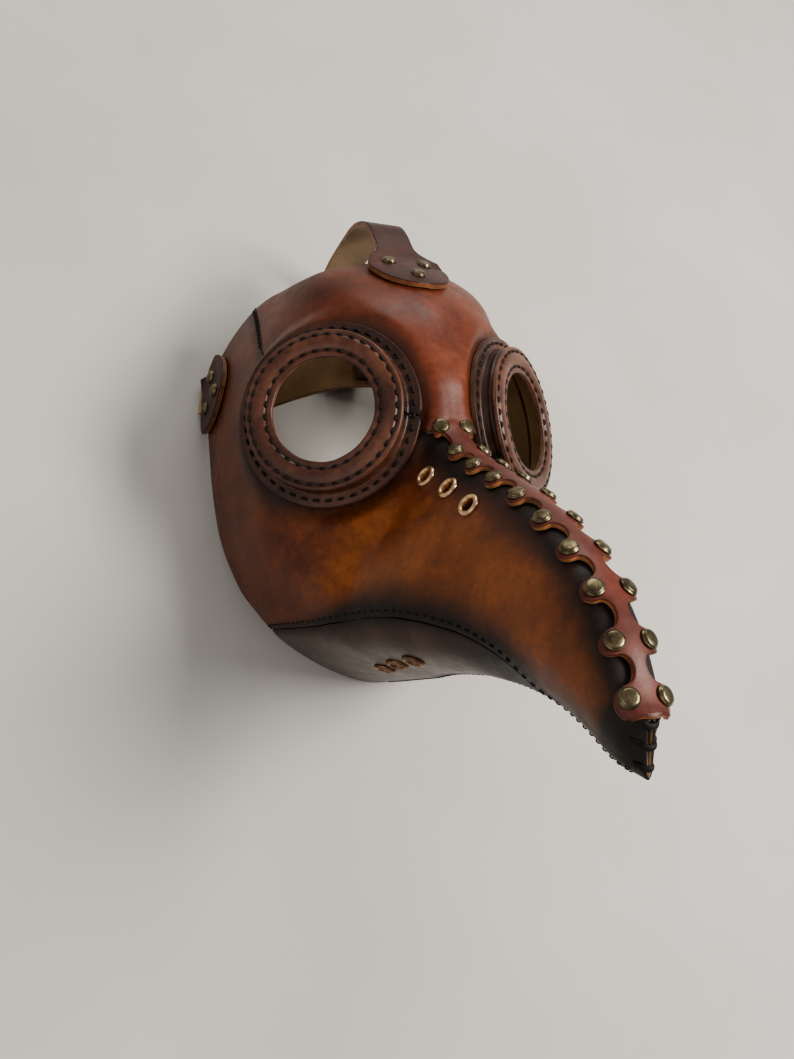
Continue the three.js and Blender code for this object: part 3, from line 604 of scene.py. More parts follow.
def shell_line(edge, lift, side):
    """Floor points and directions along an edge given as (section, step), lifted off the shell."""
    spots = on_left(curve_at(edge, np.linspace(0, 1, 400)))
    normals = shell_normals(*spots)
    return to_floor(shell_points(*spots) + normals * lift, side), floor_direction(normals, side)


# Materials


class Nodes:
    """Short calls for a material's nodes; most return a new node's output."""

    def __init__(self, name):
        self.material = bpy.data.materials.new(name)
        self.material.use_nodes = True
        self.tree = self.material.node_tree
        self.place = self.node("TexCoord", {}).outputs["Object"]

    def feed(self, node, inputs):
        """Sets inputs, by name or number, to plain values, colours or other nodes' outputs."""
        for label, value in inputs.items():
            socket = node.inputs[label]
            if isinstance(value, bpy.types.NodeSocket):
                self.tree.links.new(value, socket)
            elif socket.type == "RGBA":
                socket.default_value = (*value, 1)
            else:
                socket.default_value = value

    def node(self, kind, inputs, **settings):
        """New node with its settings and inputs."""
        made = self.tree.nodes.new("ShaderNode" + kind)
        for label, setting in settings.items():
            setattr(made, label, setting)
        self.feed(made, inputs)
        return made

    def noise(self, scale, detail, roughness=0.55, distortion=0.0, place=None):
        """Noise whose scale is in waves to a metre."""
        wave = {"Scale": scale, "Detail": detail, "Roughness": roughness, "Distortion": distortion}
        return self.node("TexNoise", {"Vector": place or self.place, **wave}).outputs["Fac"]

    def cells(self, scale):
        return self.node("TexVoronoi", {"Vector": self.place, "Scale": scale}).outputs["Distance"]

    def stretched(self, scales):
        return self.node("Mapping", {"Vector": self.place, "Scale": scales}).outputs["Vector"]

    def amount(self, name):
        return self.node("Attribute", {}, attribute_name=name).outputs["Fac"]

    def mapped(self, value, low, high, to_low=0.0, to_high=1.0, smooth=False):
        ends = {"From Min": low, "From Max": high, "To Min": to_low, "To Max": to_high}
        kind = "SMOOTHSTEP" if smooth else "LINEAR"
        return self.node("MapRange", {"Value": value, **ends}, interpolation_type=kind).outputs["Result"]

    def weighted(self, *pairs, shift=0.0):
        """Sum of values times their weights, and a shift."""
        total = shift
        for value, weight in pairs:
            inputs = {0: value, 1: weight, 2: total}
            total = self.node("Math", inputs, operation="MULTIPLY_ADD").outputs["Value"]
        return total

    def ramp(self, value, *stops):
        """Colour from stops of (place, colour)."""
        node = self.node("ValToRGB", {"Fac": value})
        ramp = node.color_ramp
        while len(ramp.elements) < len(stops):
            ramp.elements.new(0.5)
        for element, (place, colour) in zip(ramp.elements, stops):
            element.position = place
            element.color = (*colour, 1)
        return node.outputs["Color"]

    def mixed(self, factor, first, second):
        return self.node("Mix", {0: factor, 6: first, 7: second}, data_type="RGBA").outputs[2]

    def bump(self, height, distance, strength, under=None):
        """Normal on a relief whose depth is a distance in millimetres, perhaps over a coarser one."""
        inputs = {"Height": height, "Distance": distance / 1000, "Strength": strength}
        if under:
            inputs["Normal"] = under
        return self.node("Bump", inputs).outputs["Normal"]

    def finish(self, colour, roughness, others):
        """The material, with its shader's other inputs by name."""
        shader = self.tree.nodes["Principled BSDF"]
        self.feed(shader, {"Base Color": colour, "Roughness": roughness, **others})
        return self.material


DYE_STOPS = (0.34, 0.5, 0.66)
# near-black of the burnish, also used for the painted shade in the eye rings' grooves
BURNT_AND_SHADE = (0.008, 0.005, 0.004)
FLESH_PALE = (0.36, 0.235, 0.12)
FLESH_DEEP = (0.22, 0.13, 0.06)
FLESH_FUZZ = (0.46, 0.33, 0.19)
THREAD_DARK = (0.004, 0.003, 0.003)
THREAD_PALE = (0.016, 0.010, 0.009)
EDGE_BURNT = (0.02, 0.012, 0.01)
FLOOR_SHADES = [(0.3, (0.52, 0.50, 0.47)), (0.7, (0.58, 0.56, 0.53))]


def dyed_leather(name, colours, glowing=None, gloss=0.36, specular=0.34, coat=0.06):
    """Vegetable-tanned leather, dyed unevenly by hand: cloudy colour, burnished darkening, painted shade where
    the amount says so, fine grain and scratches. Colours go from dark to light; where the amount "glow" is
    high, the glowing ones take over."""
    n = Nodes(name)
    spots = n.noise(170, 5, 0.65)
    blend = n.weighted((n.noise(38, 6, 0.6, 0.4), 0.6), (spots, 0.25), (n.noise(520, 4, 0.6, 0.3), 0.15))
    colour = n.ramp(blend, *zip(DYE_STOPS, colours))
    if glowing:
        glow = n.weighted((n.amount("glow"), 1), (spots, 0.9), shift=-0.45)
        glowing = n.ramp(blend, *zip(DYE_STOPS, glowing))
        colour = n.mixed(n.mapped(glow, 0.1, 0.9, smooth=True), colour, glowing)
    pores = n.cells(1500)
    colour = n.mixed(n.mapped(pores, 0, 0.25, 0.3, 0), colour, BURNT_AND_SHADE)
    streaks = n.noise(60, 5, 0.7, 1.2, n.stretched((1, 0.35, 0.35)))
    colour = n.mixed(n.mapped(streaks, 0.56, 0.78, 0, 0.28, smooth=True), colour, colours[0])
    colour = n.mixed(n.mapped(n.amount("edge"), 0, 1, 0, 0.45), colour, colours[0])
    smoke = [(n.noise(48, 3, 0.5), 0.6), (n.noise(420, 4, 0.6), 0.3)]
    # burnish and smoke, and on the eye rings painted shade in the stitch grooves, mixed toward near-black
    burnish_dirt_and_shade = n.mapped(n.weighted((n.amount("burnish_and_shade"), 1), *smoke, shift=-0.45), 0, 1.05, 0, 0.98)
    colour = n.mixed(burnish_dirt_and_shade, colour, BURNT_AND_SHADE)
    fine = n.noise(2600, 3, 0.6)
    by_spots = n.mapped(spots, 0.3, 0.7, gloss - 0.06, gloss + 0.12)
    rough = n.weighted((by_spots, 1), (n.mapped(fine, 0.3, 0.7, -0.05, 0.05), 1), (burnish_dirt_and_shade, 0.14))
    soft = n.bump(n.noise(55, 4, 0.5), 0.5, 0.5)
    creased = n.bump(n.noise(420, 6, 0.7, 0.6), 0.09, 0.6, soft)
    grain = n.bump(n.weighted((fine, 1), (pores, 0.6)), 0.05, 0.55, creased)
    others = {"Specular IOR Level": specular, "Coat Weight": coat, "Coat Roughness": 0.28}
    return n.finish(colour, rough, {"Normal": grain, **others})


def cut_edge(name, pale, deep):
    """Cut edge of thick leather: packed fibres, rubbed smooth and stained in places."""
    n = Nodes(name)
    fibres = n.noise(900, 4, 0.7, 0.3)
    stain = n.weighted((n.noise(90, 5, 0.65), 0.7), (fibres, 0.3))
    colour = n.ramp(stain, (0.38, deep), (0.6, pale))
    colour = n.mixed(n.mapped(n.amount("burnish_and_shade"), 0.3, 1, 0, 0.9), colour, EDGE_BURNT)
    others = {"Normal": n.bump(fibres, 0.12, 0.5), "Specular IOR Level": 0.4}
    return n.finish(colour, n.mapped(fibres, 0.3, 0.7, 0.42, 0.62), others)


def flesh_side(name):
    """Back of the leather: undyed, fuzzy, with soaked-through stains."""
    n = Nodes(name)
    fuzz = n.noise(1300, 6, 0.75)
    colour = n.ramp(n.noise(45, 6, 0.6, 0.3), (0.35, FLESH_DEEP), (0.65, FLESH_PALE))
    colour = n.mixed(n.mapped(fuzz, 0.35, 0.75, 0, 0.35), colour, FLESH_FUZZ)
    others = {"Normal": n.bump(fuzz, 0.25, 0.7), "Specular IOR Level": 0.2, "Sheen Weight": 0.25}
    return n.finish(colour, n.mapped(fuzz, 0.3, 0.7, 0.8, 0.98), others)


def waxed_thread(name):
    n = Nodes(name)
    twist = n.noise(1400, 3, 0.6)
    colour = n.ramp(twist, (0.35, THREAD_DARK), (0.7, THREAD_PALE))
    others = {"Normal": n.bump(twist, 0.12, 0.6), "Specular IOR Level": 0.3}
    return n.finish(colour, n.mapped(twist, 0.3, 0.7, 0.55, 0.75), others)


def metal(name, clean, tarnished, burnish_dirt_and_shade, shine, patina):
    """Plated cap or ring: bright where it is rubbed, tarnished elsewhere, with dirt in the low places."""
    n = Nodes(name)
    cloud = n.noise(260, 5, 0.6)
    specks = n.noise(1700, 4, 0.7)
    worn = n.weighted((cloud, 0.75), (specks, 0.25))
    colour = n.ramp(worn, (patina - 0.12, tarnished), (patina + 0.14, clean))
    colour = n.mixed(n.mapped(specks, 0.6, 0.78, 0, 0.6), colour, burnish_dirt_and_shade)
    by_cloud = n.mapped(cloud, 0.3, 0.7, shine + 0.14, shine)
    rough = n.weighted((by_cloud, 1), (n.mapped(specks, 0.4, 0.7, 0, 0.12), 1))
    return n.finish(colour, rough, {"Normal": n.bump(specks, 0.02, 0.25), "Metallic": 1})


MAROON = [(0.074, 0.018, 0.009), (0.136, 0.032, 0.013), (0.196, 0.049, 0.020)]
MAHOGANY = [(0.055, 0.014, 0.010), (0.110, 0.026, 0.017), (0.185, 0.048, 0.030)]
ORANGE = [(0.12, 0.030, 0.007), (0.215, 0.058, 0.012), (0.32, 0.095, 0.020)]
RUSSET = [(0.072, 0.016, 0.007), (0.125, 0.030, 0.010), (0.18, 0.048, 0.015)]
SOOTY = [(0.026, 0.014, 0.009), (0.052, 0.029, 0.018), (0.088, 0.050, 0.031)]
COCOA = [(0.040, 0.014, 0.010), (0.105, 0.038, 0.022), (0.19, 0.078, 0.046)]
UMBER = [(0.022, 0.008, 0.006), (0.045, 0.014, 0.010), (0.08, 0.026, 0.017)]

EDGE_TAN = cut_edge("cut_edge_tan", (0.46, 0.19, 0.075), (0.16, 0.055, 0.022))
EDGE_PALE = cut_edge("cut_edge_pale", (0.34, 0.17, 0.11), (0.12, 0.05, 0.035))
EDGE_BROWN = cut_edge("cut_edge_brown", (0.30, 0.12, 0.050), (0.10, 0.036, 0.017))
EDGE_DARK = cut_edge("cut_edge_dark", (0.10, 0.04, 0.026), (0.025, 0.012, 0.010))
FLESH = flesh_side("flesh_side")
CROWN = dyed_leather("crown_leather", MAROON, MAHOGANY, gloss=0.38)
SIDE = dyed_leather("side_leather", RUSSET, ORANGE)
LOWER = dyed_leather("lower_leather", SOOTY, gloss=0.34, specular=0.32)
EYE = dyed_leather("eye_leather", COCOA, gloss=0.30, coat=0.12)
STRAP = dyed_leather("strap_leather", UMBER, gloss=0.4, specular=0.28, coat=0.03)
THREAD = waxed_thread("waxed_thread")
BRASS = metal("antique_brass", (0.30, 0.25, 0.155), (0.085, 0.070, 0.042), (0.02, 0.017, 0.013), 0.22, 0.53)
BRIGHT = metal("bright_brass", (0.70, 0.49, 0.30), (0.55, 0.36, 0.22), (0.25, 0.15, 0.09), 0.2, 0.42)
DARK_BRASS = metal("dark_brass", (0.30, 0.18, 0.11), (0.11, 0.065, 0.042), (0.03, 0.02, 0.015), 0.26, 0.5)


# Leather panels of the shell


def spots_between(upper, lower, rim, rows, columns, least, free=True):
    """Grid of (section, step) between two edges that start at the ends of a rim. Its lines stand closer beside
    a free edge; least is the smallest width for which that is worked out."""
    dense = np.linspace(0, 1, 241)
    lengths = lengths_along(shell_points(*on_left((curve_at(upper, dense) + curve_at(lower, dense)) / 2)))
    u = np.interp(lines_across(lengths[-1], rows, end=free) * lengths[-1], lengths, dense)
    top, bottom = curve_at(upper, u), curve_at(lower, u)
    reach = np.linalg.norm(shell_points(*on_left(top)) - shell_points(*on_left(bottom)), axis=-1)
    v = lines_across(np.maximum(reach, least), columns, start=free)[..., None]
    bow = curve_at(rim, v[..., 0]) - mix(np.array(rim[0]), np.array(rim[-1]), v)
    return mix(top[:, None], bottom[:, None], v) + bow * (1 - u[:, None, None])


def drill(radius, low, high, segments, point, normal):
    """Round body that cuts a hole."""
    return capped([(0, low), (radius, low), (radius, high), (0, high)], segments, point, normal)


def eye_drill(side):
    return drill(EYE_HOLE, -25, 20, 64, to_floor(eye_centre, side), floor_direction(eye_normal, side))


def skived(section):
    """Share of its thickness that the leather keeps toward the beak's tip."""
    return 1 - SKIVE * smoothstep(section, TIP - SKIVE_REACH, TIP)


def add_panel(name, side, spots, grain, marks_at, eyelets, holes=()):
    """A panel of the shell; marks_at gives its marks at worn points."""
    section, step = on_left(spots)
    points = shell_points(section, step)
    thin = skived(section)[..., None]
    points[..., :1] = np.maximum(points[..., :1] * thin, GAP / 2)
    inner = points - shell_normals(section, step) * LEATHER * thin
    inner[..., 0] = np.maximum(inner[..., 0], GAP / 2)
    outer, inner = to_floor(points, side), to_floor(inner, side)
    marks = marks_at(points, section, step)
    piece = leather_slab(f"{name}_leather", outer, inner, [grain, EDGE_DARK, FLESH], name, marks)
    drills = [drill(EYELET_HOLE + 0.1, -8, 5, 20, *spot_on(*spot, 0, side)) for spot in eyelets]
    cut_holes(piece, [*holes, *drills])


def side_marks(points, section, step):
    """How darkly a side panel is burnished, and how far it is rubbed back to orange along its middle."""
    from_ridge = distances_to_edge(points, [(4.6, 0), (TIP, 0)])
    from_seam = distances_to_edge(points, SIDE_SEAM + SEAM_ON_KEEL)
    burns = [
        1.15 * fade(from_ridge / (32 - 9 * smoothstep(section, 5.5, 9)), 0.25, 1),
        1.25 * fade(from_seam / (7 + 19 * smoothstep(section, 2.2, 6.5)), -0.1, 1),
        0.9 * fade(eye_radius(points), FLANGE_RADIUS - 2, FLANGE_RADIUS + 15),
        0.8 * fade(distances_to_edge(points, BROW_SEAM), 0.5, 9),
        1.3 * smoothstep(section, 13, 14.1),
        0.3 * fade(section, 0.2, 3),
    ]
    middle = np.interp(section, [0, 4, 8, 12, 15], [4.2, 3.9, 3.3, 3.0, 3.0])
    glow = smoothstep(section, 1.2, 5) * fade(np.abs(step - middle), 0.2, 2.4)
    return {"burnish_and_shade": np.clip(np.max(burns, axis=0), 0, 1.3), "glow": glow}


def add_side_panels():
    upper = beside(BROW_SEAM, GAP / 2) + UNDER_STRIP
    lower = beside(SIDE_SEAM, -GAP / 2) + SEAM_ON_KEEL
    spots = spots_between(upper, lower, [upper[0]] + SIDE_RIM[1:-1] + [lower[0]], 210, 56, 3.0)
    for label, side in SIDES:
        name = f"side_panel_{label}"
        add_panel(name, side, spots, SIDE, side_marks, BEAK_EYELETS, [eye_drill(side)])


def lower_marks(points, section, step):
    """How darkly a lower panel is burnished: beside its seams, and all over toward the beak."""
    by_seam = 0.8 * fade(distances_to_edge(points, SIDE_SEAM), 1, 7)
    by_keel = 0.8 * fade(distances_to_edge(points, [(1, KEEL), (11.2, KEEL)]), 1, 8)
    return {"burnish_and_shade": np.max([by_seam, by_keel, smoothstep(section, 7.5, 10)], axis=0)}


def add_lower_panels():
    upper = beside(SIDE_SEAM, GAP / 2)
    lower = [CHIN_RIM[-1]] + [(section, KEEL) for section, _ in upper[1:]]
    spots = spots_between(upper, lower, [upper[0]] + CHIN_RIM[1:], 130, 40, 3.0)
    for label, side in SIDES:
        add_panel(f"lower_panel_{label}", side, spots, LOWER, lower_marks, CHIN_EYELETS)


def wave_between(first, second, depth):
    """Places along the strip and reaches from a rivet's row: half a lobe, a bite, half a lobe."""
    quarter = np.linspace(0, math.pi / 2, 10)
    turn = np.linspace(0, math.pi, 22)[1:-1]
    middle = (first + second) / 2
    bite = middle - first - LOBE_HALF
    half_lobe = LOBE_HALF * np.sin(quarter)
    places = [first + half_lobe, middle - bite * np.cos(turn), second - half_lobe[::-1]]
    reaches = [LOBE_OUT * np.cos(quarter), -depth * np.sin(turn), LOBE_OUT * np.sin(quarter)]
    return np.concatenate(places), np.concatenate(reaches)


def strip_outline():
    """Sections along the strip, close together where its edge turns, and the half-width at each."""
    sections = np.linspace(FIRST_RIVET - 1, TIP, 1101)
    lengths = lengths_along(shell_points(sections, 0))
    rivets = np.interp(FIRST_RIVET + np.arange(RIVETS), sections, lengths)
    start, end = np.interp([STRIP_START, STRIP_END], sections, lengths)
    pieces = [([start], [LOBE_OUT])]
    for i, (first, second) in enumerate(zip(rivets, rivets[1:])):
        pieces.append(wave_between(first, second, BITE_IN * (FIRST_BITE if i == 0 else 1)))
    last = np.radians(np.linspace(0, 70, 8))
    pieces.append((rivets[-1] + LOBE_HALF * np.sin(last), LOBE_OUT * np.cos(last)))
    pieces.append(([end + 0.3, end + 1.3], [0.9, 0.6]))
    places, reaches = (np.concatenate([piece[k] for piece in pieces]) for k in range(2))
    keep = np.concatenate([[True], np.diff(places) > 0.02])
    return np.interp(places[keep], lengths, sections), RIVET_ARC + reaches[keep]


def crown_grid():
    """Sections and steps of one half of the forehead piece, ridge first."""
    edge = beside(BROW_SEAM, -GAP / 2)
    forehead = spots_between(RIDGE, edge, FOREHEAD_RIM[:-1] + [edge[0]], 84, 44, 4.0, free=False)
    sections, arcs = strip_outline()
    across = lines_across(arcs, 44, start=False)
    steps = np.stack([steps_at(s, 0, shares * arc) for s, shares, arc in zip(sections, across, arcs)])
    bulge = STRIP_END_BULGE * smoothstep(sections, LAST_RIVET, STRIP_END)[:, None] * (1 - across**2)
    strip = np.stack([sections[:, None] + bulge, steps], -1)
    return on_left(np.concatenate([forehead, strip]))


def both_halves(grid):
    """Points or amounts on the left half, from the ridge on, after their mirror image."""
    right = grid[:, :0:-1]
    return np.concatenate([on_side(right, -1) if grid.ndim == 3 else right, grid], axis=1)


def add_crown():
    section, step = crown_grid()
    points = shell_points(section, step)
    normals = shell_normals(section, step)
    points[:, 0, 0] = normals[:, 0, 0] = 0
    normals = unit(normals)
    lift = crown_lift(section, step)[..., None]
    outer = points + normals * lift
    inner = outer - normals * mix(LEATHER, STRIP_LEATHER, lift / STRIP_LIFT)
    burns = [
        0.75 * fade(eye_radius(points), FLANGE_RADIUS - 1, FLANGE_RADIUS + 7),
        0.5 * fade(distances_to_edge(points, BROW_SEAM), 0.5, 5) * fade(section, 4.4, 4.8),
        0.2 * fade(section, 2.1, 2.9),
    ]
    marks = {"burnish_and_shade": both_halves(np.max(burns, axis=0)), "glow": both_halves(smoothstep(section, 4.6, 6))}
    outer, inner = (to_floor(both_halves(half)) for half in (outer, inner))
    materials = [CROWN, EDGE_TAN, FLESH]
    piece = leather_slab("crown_leather", outer, inner, materials, "crown_panel", marks)
    cut_holes(piece, [eye_drill(side) for _, side in SIDES])


# Eyes


def eye_frame(side):
    """Floor centre, normal, and the directions to twelve and three o'clock as an onlooker sees the eye."""
    normal = on_side(eye_normal, side)
    up = unit(Z_AXIS - normal * normal[2])
    right = np.cross(up, normal)
    return to_floor(eye_centre, side), *(floor_direction(v) for v in (normal, up, right))


def on_eye(side, angle, radius, height):
    """Floor points round an eye at clock angles, radii and heights above the face."""
    centre, normal, up, right = eye_frame(side)
    angle, radius, height = (grid[..., None] for grid in np.broadcast_arrays(angle, radius, height))
    return centre + (np.cos(angle) * up + np.sin(angle) * right) * radius + normal * height


def bell(values, middle, width):
    """1 at a middle value, fading to 0 on both sides of it."""
    return np.exp(-(((values - middle) / width) ** 2))


def add_eye_bands():
    """Each band: a strip of leather shaped to a flange and a short tube, its two ends meeting in a joint."""
    ends = (GAP + np.array([0, 0.4, 1.0, 1.8, 2.6, 3.4])) / FLANGE_RADIUS
    turn = np.concatenate([ends, np.linspace(0.1, 2 * math.pi - 0.1, 200), 2 * math.pi - ends[::-1]])
    from_end = FLANGE_RADIUS * np.minimum(turn, 2 * math.pi - turn)[:, None]
    bend_start = RING_RADIUS + TUBE_FILLET
    shares = np.array([0, 0.02, 0.06, 0.14, 0.3, 0.45, 0.6, 0.75, 0.9, 1])
    flat = mix(FLANGE_RADIUS - rounded_drop(from_end, BAND_CORNER), bend_start, shares)
    bend = np.linspace(0, math.pi / 2, 6)[1:]
    wall = np.linspace(FLANGE_TOP + TUBE_FILLET, TUBE_TOP, 8)[1:]
    front = [bend_start - TUBE_FILLET * np.sin(bend), RING_RADIUS - 0.15 - 0.28 * bell(wall, 6.2, 0.45)]
    inside = RING_RADIUS - TUBE_WALL
    back = [np.linspace(bend_start, inside, len(bend) + 1)[1:], np.full(len(wall), inside)]
    rests = (np.tile(np.concatenate(rest), (len(turn), 1)) for rest in (front, back))
    radius, back_radius = (np.concatenate([flat, rest], axis=1) for rest in rests)
    level = np.full(len(shares), FLANGE_TOP)
    height = np.concatenate([level, FLANGE_TOP + TUBE_FILLET * (1 - np.cos(bend)), wall])
    under = np.full(len(shares) + len(bend), GAP)
    back_height = np.concatenate([under, np.linspace(GAP, TUBE_TOP, len(wall) + 1)[1:]])
    on_flange = np.arange(len(height)) < len(shares)
    for label, side in SIDES:
        angle = math.radians(BAND_JOINT[side]) + turn[:, None]
        uneven = on_flange * (0.12 * np.sin(angle * 7 + 1) + 0.08 * np.sin(angle * 13))
        outer = on_eye(side, angle, radius, height + uneven)
        inner = on_eye(side, angle, back_radius, back_height)
        by_nose = np.cos(angle - math.radians(180 + 110 * side))
        burnish_and_shade = 0.25 + 0.45 * smoothstep(by_nose, 0.2, 0.95) + 0.35 * bell(from_end, 0, 3)
        marks = {"burnish_and_shade": np.broadcast_to(burnish_and_shade, radius.shape)}
        name = f"eye_band_{label}"
        materials = [EYE, EDGE_PALE, FLESH]
        leather_slab(f"{name}_leather", outer, inner, materials, name, marks, 0.5)


def ring_profile():
    """Radii and heights round a ring's section, from its inner edge on, and the material between each two."""
    front = np.linspace(EYE_OPENING + RING_ROUND, RING_RADIUS - RING_ROUND, 42)
    first, last = RING_ROWS
    height = EYE_HEIGHT - 0.75 + 0.95 * np.sin(np.pi * np.clip((front - first) / (last - first), 0, 1)) ** 0.7
    height -= 0.35 * sum(bell(front, row, 0.55) for row in RING_ROWS)
    bend = np.linspace(0, math.pi / 2, 6)
    round_off = RING_ROUND * np.stack([np.sin(bend) - 1, np.cos(bend) - 1], -1)
    inside = (round_off * [-1, 1])[::-1] + [EYE_OPENING, height[0]]
    outside = round_off + [RING_RADIUS, height[-1]]
    top = [inside, np.stack([front, height], -1)[1:-1], outside]
    low = [(RING_RADIUS, 0.5), (RING_RADIUS - 0.4, 0), (EYE_OPENING + 0.4, 0), (EYE_OPENING, 0.5)]
    kinds = [0] * (sum(len(points) for points in top) - 1) + [1, 1, 2, 1, 1]
    return np.concatenate([*top, low + np.array([0, EYE_HEIGHT - RING_THICK])]), kinds


def add_eye_rings():
    """Each ring: crowned between its two rows of stitches, with a groove under each row that is painted darker
    as shade.
    """
    profile, kinds = ring_profile()
    out, height = profile.T
    angle = np.linspace(0, 2 * math.pi, RING_SEGMENTS, endpoint=False)[:, None]
    groove_shade = sum(bell(out, row, 0.7) for row in RING_ROWS)
    edge = np.tile(bell(out, EYE_OPENING, 0.9), (RING_SEGMENTS, 1))
    quads = grid_quads(RING_SEGMENTS, len(profile), True, True)
    for label, side in SIDES:
        wobble = 0.12 * np.sin(angle * 5 + side) + 0.07 * np.sin(angle * 11)
        points, faces = joined([(on_eye(side, angle, out + wobble, height).reshape(-1, 3), quads)])
        # even base darkening, darker toward each ring's lower outer side, and painted shade in the grooves
        # under the stitch rows
        burnish_and_shade = 0.2 + 0.12 * np.cos(angle - math.radians(180 - 20 * side)) + 0.3 * groove_shade
        marks = {"burnish_and_shade": burnish_and_shade, "edge": edge}
        name = f"eye_ring_{label}"
        materials = [EYE, EDGE_PALE, FLESH]
        every = np.tile(kinds, RING_SEGMENTS)
        add_piece(f"{name}_leather", points, faces, materials, [name], every, marks)


def add_eye_stitches():
    on_ring = EYE_HEIGHT - 1
    rows = [(RING_ROWS[0], 30, on_ring), (RING_ROWS[1], 38, on_ring), (FLANGE_ROW, 44, FLANGE_TOP)]
    angle = np.linspace(0, 2 * math.pi, 361)
    for label, side in SIDES:
        bodies = []
        normals = np.tile(eye_frame(side)[1], (len(angle), 1))
        for radius, count, height in rows:
            pitch = 2 * math.pi * radius / count
            bodies += stitches(on_eye(side, angle, radius, height), normals, pitch, 0.66 * pitch, 0.66)
        add_bodies(f"eye_stitches_{label}", bodies, THREAD)


# Fastenings


def add_rivet(name, point, normal):
    """Low cap with a rolled rim."""
    r, dome = RIVET_RADIUS, RIVET_HEIGHT - RIM_HEIGHT
    profile = [(0, -0.3), (r - 0.4, -0.3), (r - 0.05, -0.1)]
    profile += [(r, 0.2), (r - 0.12, 0.5), (r - 0.45, RIM_HEIGHT)]
    for a in np.linspace(0.06, 1.45, 11):
        profile.append(((r - 0.6) * math.cos(a), RIM_HEIGHT + dome * math.sin(a) ** 0.5))
    cap = capped([*profile, (0, RIVET_HEIGHT)], 32, point, normal)
    add_bodies(f"{name}_cap", [cap], BRASS, [name])


def add_rivets():
    for label, side in SIDES:
        for i, section in enumerate(range(FIRST_RIVET, LAST_RIVET + 1), 1):
            step = float(steps_at(section, 0, RIVET_ARC))
            lift = float(crown_lift(section, step)) + BEAK_RIVET_GAP
            add_rivet(f"beak_rivet_{label}_{i}", *spot_on(section, step, lift, side))


def add_tab_rivets(name, tab, side):
    for i, (distance, arc) in enumerate(tab["rivets"], 1):
        section = tab["tip"] - distance / tab["section_length"]
        step = float(steps_at(section, tab["centre"], arc))
        add_rivet(f"{name}_{i}", *spot_on(section, step, TAB_GAP + STRAP_LEATHER + STRAP_RIVET_GAP, side))


def add_eyelets():
    """Rolled brass rings, each with its barrel through the leather."""
    middle = (EYELET_RADIUS + EYELET_HOLE) / 2
    roll = (EYELET_RADIUS - EYELET_HOLE) / 2
    over = [(middle + roll * math.cos(a), 0.1 + 1.25 * math.sin(a)) for a in np.linspace(0, math.pi, 10)]
    hole = EYELET_HOLE
    barrel = [(hole - 0.15, -0.3), (hole - 0.15, -3.6), (hole, -3.6), (hole + 0.02, -0.4)]
    kinds = [("beak", BEAK_EYELETS, BRIGHT, "bright_brass"), ("chin", CHIN_EYELETS, DARK_BRASS, "dark_brass")]
    for label, side in SIDES:
        for place, spots, material, slot in kinds:
            for i, spot in enumerate(spots, 1):
                name = f"{place}_eyelet_{label}_{i}"
                ring = turned(over + barrel, 48, *spot_on(*spot, 0.1, side))
                add_bodies(f"{name}_ring", [ring], material, [name])


# Straps


def smooth_path(points, spacing):
    """Evenly spaced points on a smooth curve, which keeps to the points where they stand unevenly."""
    points = np.asarray(points, float)
    padded = np.concatenate([[2 * points[0] - points[1]], points, [2 * points[-1] - points[-2]]])
    t = np.linspace(0, 1, 24, endpoint=False)[:, None]
    dense = []
    for a, b, c, d in zip(padded, padded[1:], padded[2:], padded[3:]):
        first, middle, last = (max(np.linalg.norm(q - p), 1e-6) ** 0.5 for p, q in ((a, b), (b, c), (c, d)))
        start = ((b - a) / first - (c - a) / (first + middle) + (c - b) / middle) * middle
        end = ((c - b) / middle - (d - b) / (middle + last) + (d - c) / last) * middle
        away = (2 * t**3 - 3 * t**2 + 1) * b + (t**3 - 2 * t**2 + t) * start
        dense.append(away + (3 * t**2 - 2 * t**3) * c + (t**3 - t**2) * end)
    return resampled(np.concatenate([*dense, points[-1:]]), spacing)


def upright(points):
    """Points of the mid-plane from (y, z)."""
    return np.insert(np.asarray(points, float), 0, 0, axis=1)


class Ribbon:
    """Strap of leather: rows of points across it, outer face and inner face, on the floor."""

    columns = np.concatenate([[-1, -0.985, -0.95, -0.89], np.linspace(-0.8, 0.8, 13), [0.89, 0.95, 0.985, 1]])

    def __init__(self):
        self.outer = []
        self.inner = []

    def on_shell(self, section, centre, half_width):
        """A row on a tab of the left half; what lies past the ridge is on the right one."""
        steps = steps_at(section, centre, half_width * self.columns)
        normals = shell_normals(section, np.abs(steps))
        for rows, height in ((self.outer, TAB_GAP + STRAP_LEATHER), (self.inner, TAB_GAP)):
            points = shell_points(section, np.abs(steps)) + normals * height
            points[steps < 0, 0] *= -1
            rows.append(to_floor(points))

    def along(self, path, across, half_widths):
        """Rows along a path and square to it."""
        tangents = tangents_of(path)
        across = unit(across - tangents * (tangents * across).sum(axis=-1, keepdims=True))
        lift = np.cross(across, tangents)[:, None] * STRAP_LEATHER / 2
        wide = np.outer(np.broadcast_to(half_widths, len(path)), self.columns)[..., None]
        rows = path[:, None] + wide * across[:, None]
        self.outer += list(rows + lift)
        self.inner += list(rows - lift)

    def end(self):
        middle = len(self.columns) // 2
        return (self.outer[-1][middle] + self.inner[-1][middle]) / 2

    def mirror(self):
        for rows in (self.outer, self.inner):
            rows += [on_side(row, -1) for row in rows[-2::-1]]

    def add(self, node):
        materials = [STRAP, EDGE_BROWN, FLESH]
        outer, inner = np.array(self.outer), np.array(self.inner)
        return leather_slab(f"{node}_leather", outer, inner, materials, node, {}, 0.5)


def tab_half_width(distance, tab):
    """Half-width of a strap at distances from the tip of its tab."""
    to_widest = np.maximum(0, 1 - distance / tab["widest"])
    egg = tab["half"] * np.sqrt(1 - to_widest**2)
    return mix(egg, STRAP_WIDTH / 2, smoothstep(distance, tab["widest"], tab["end"]))


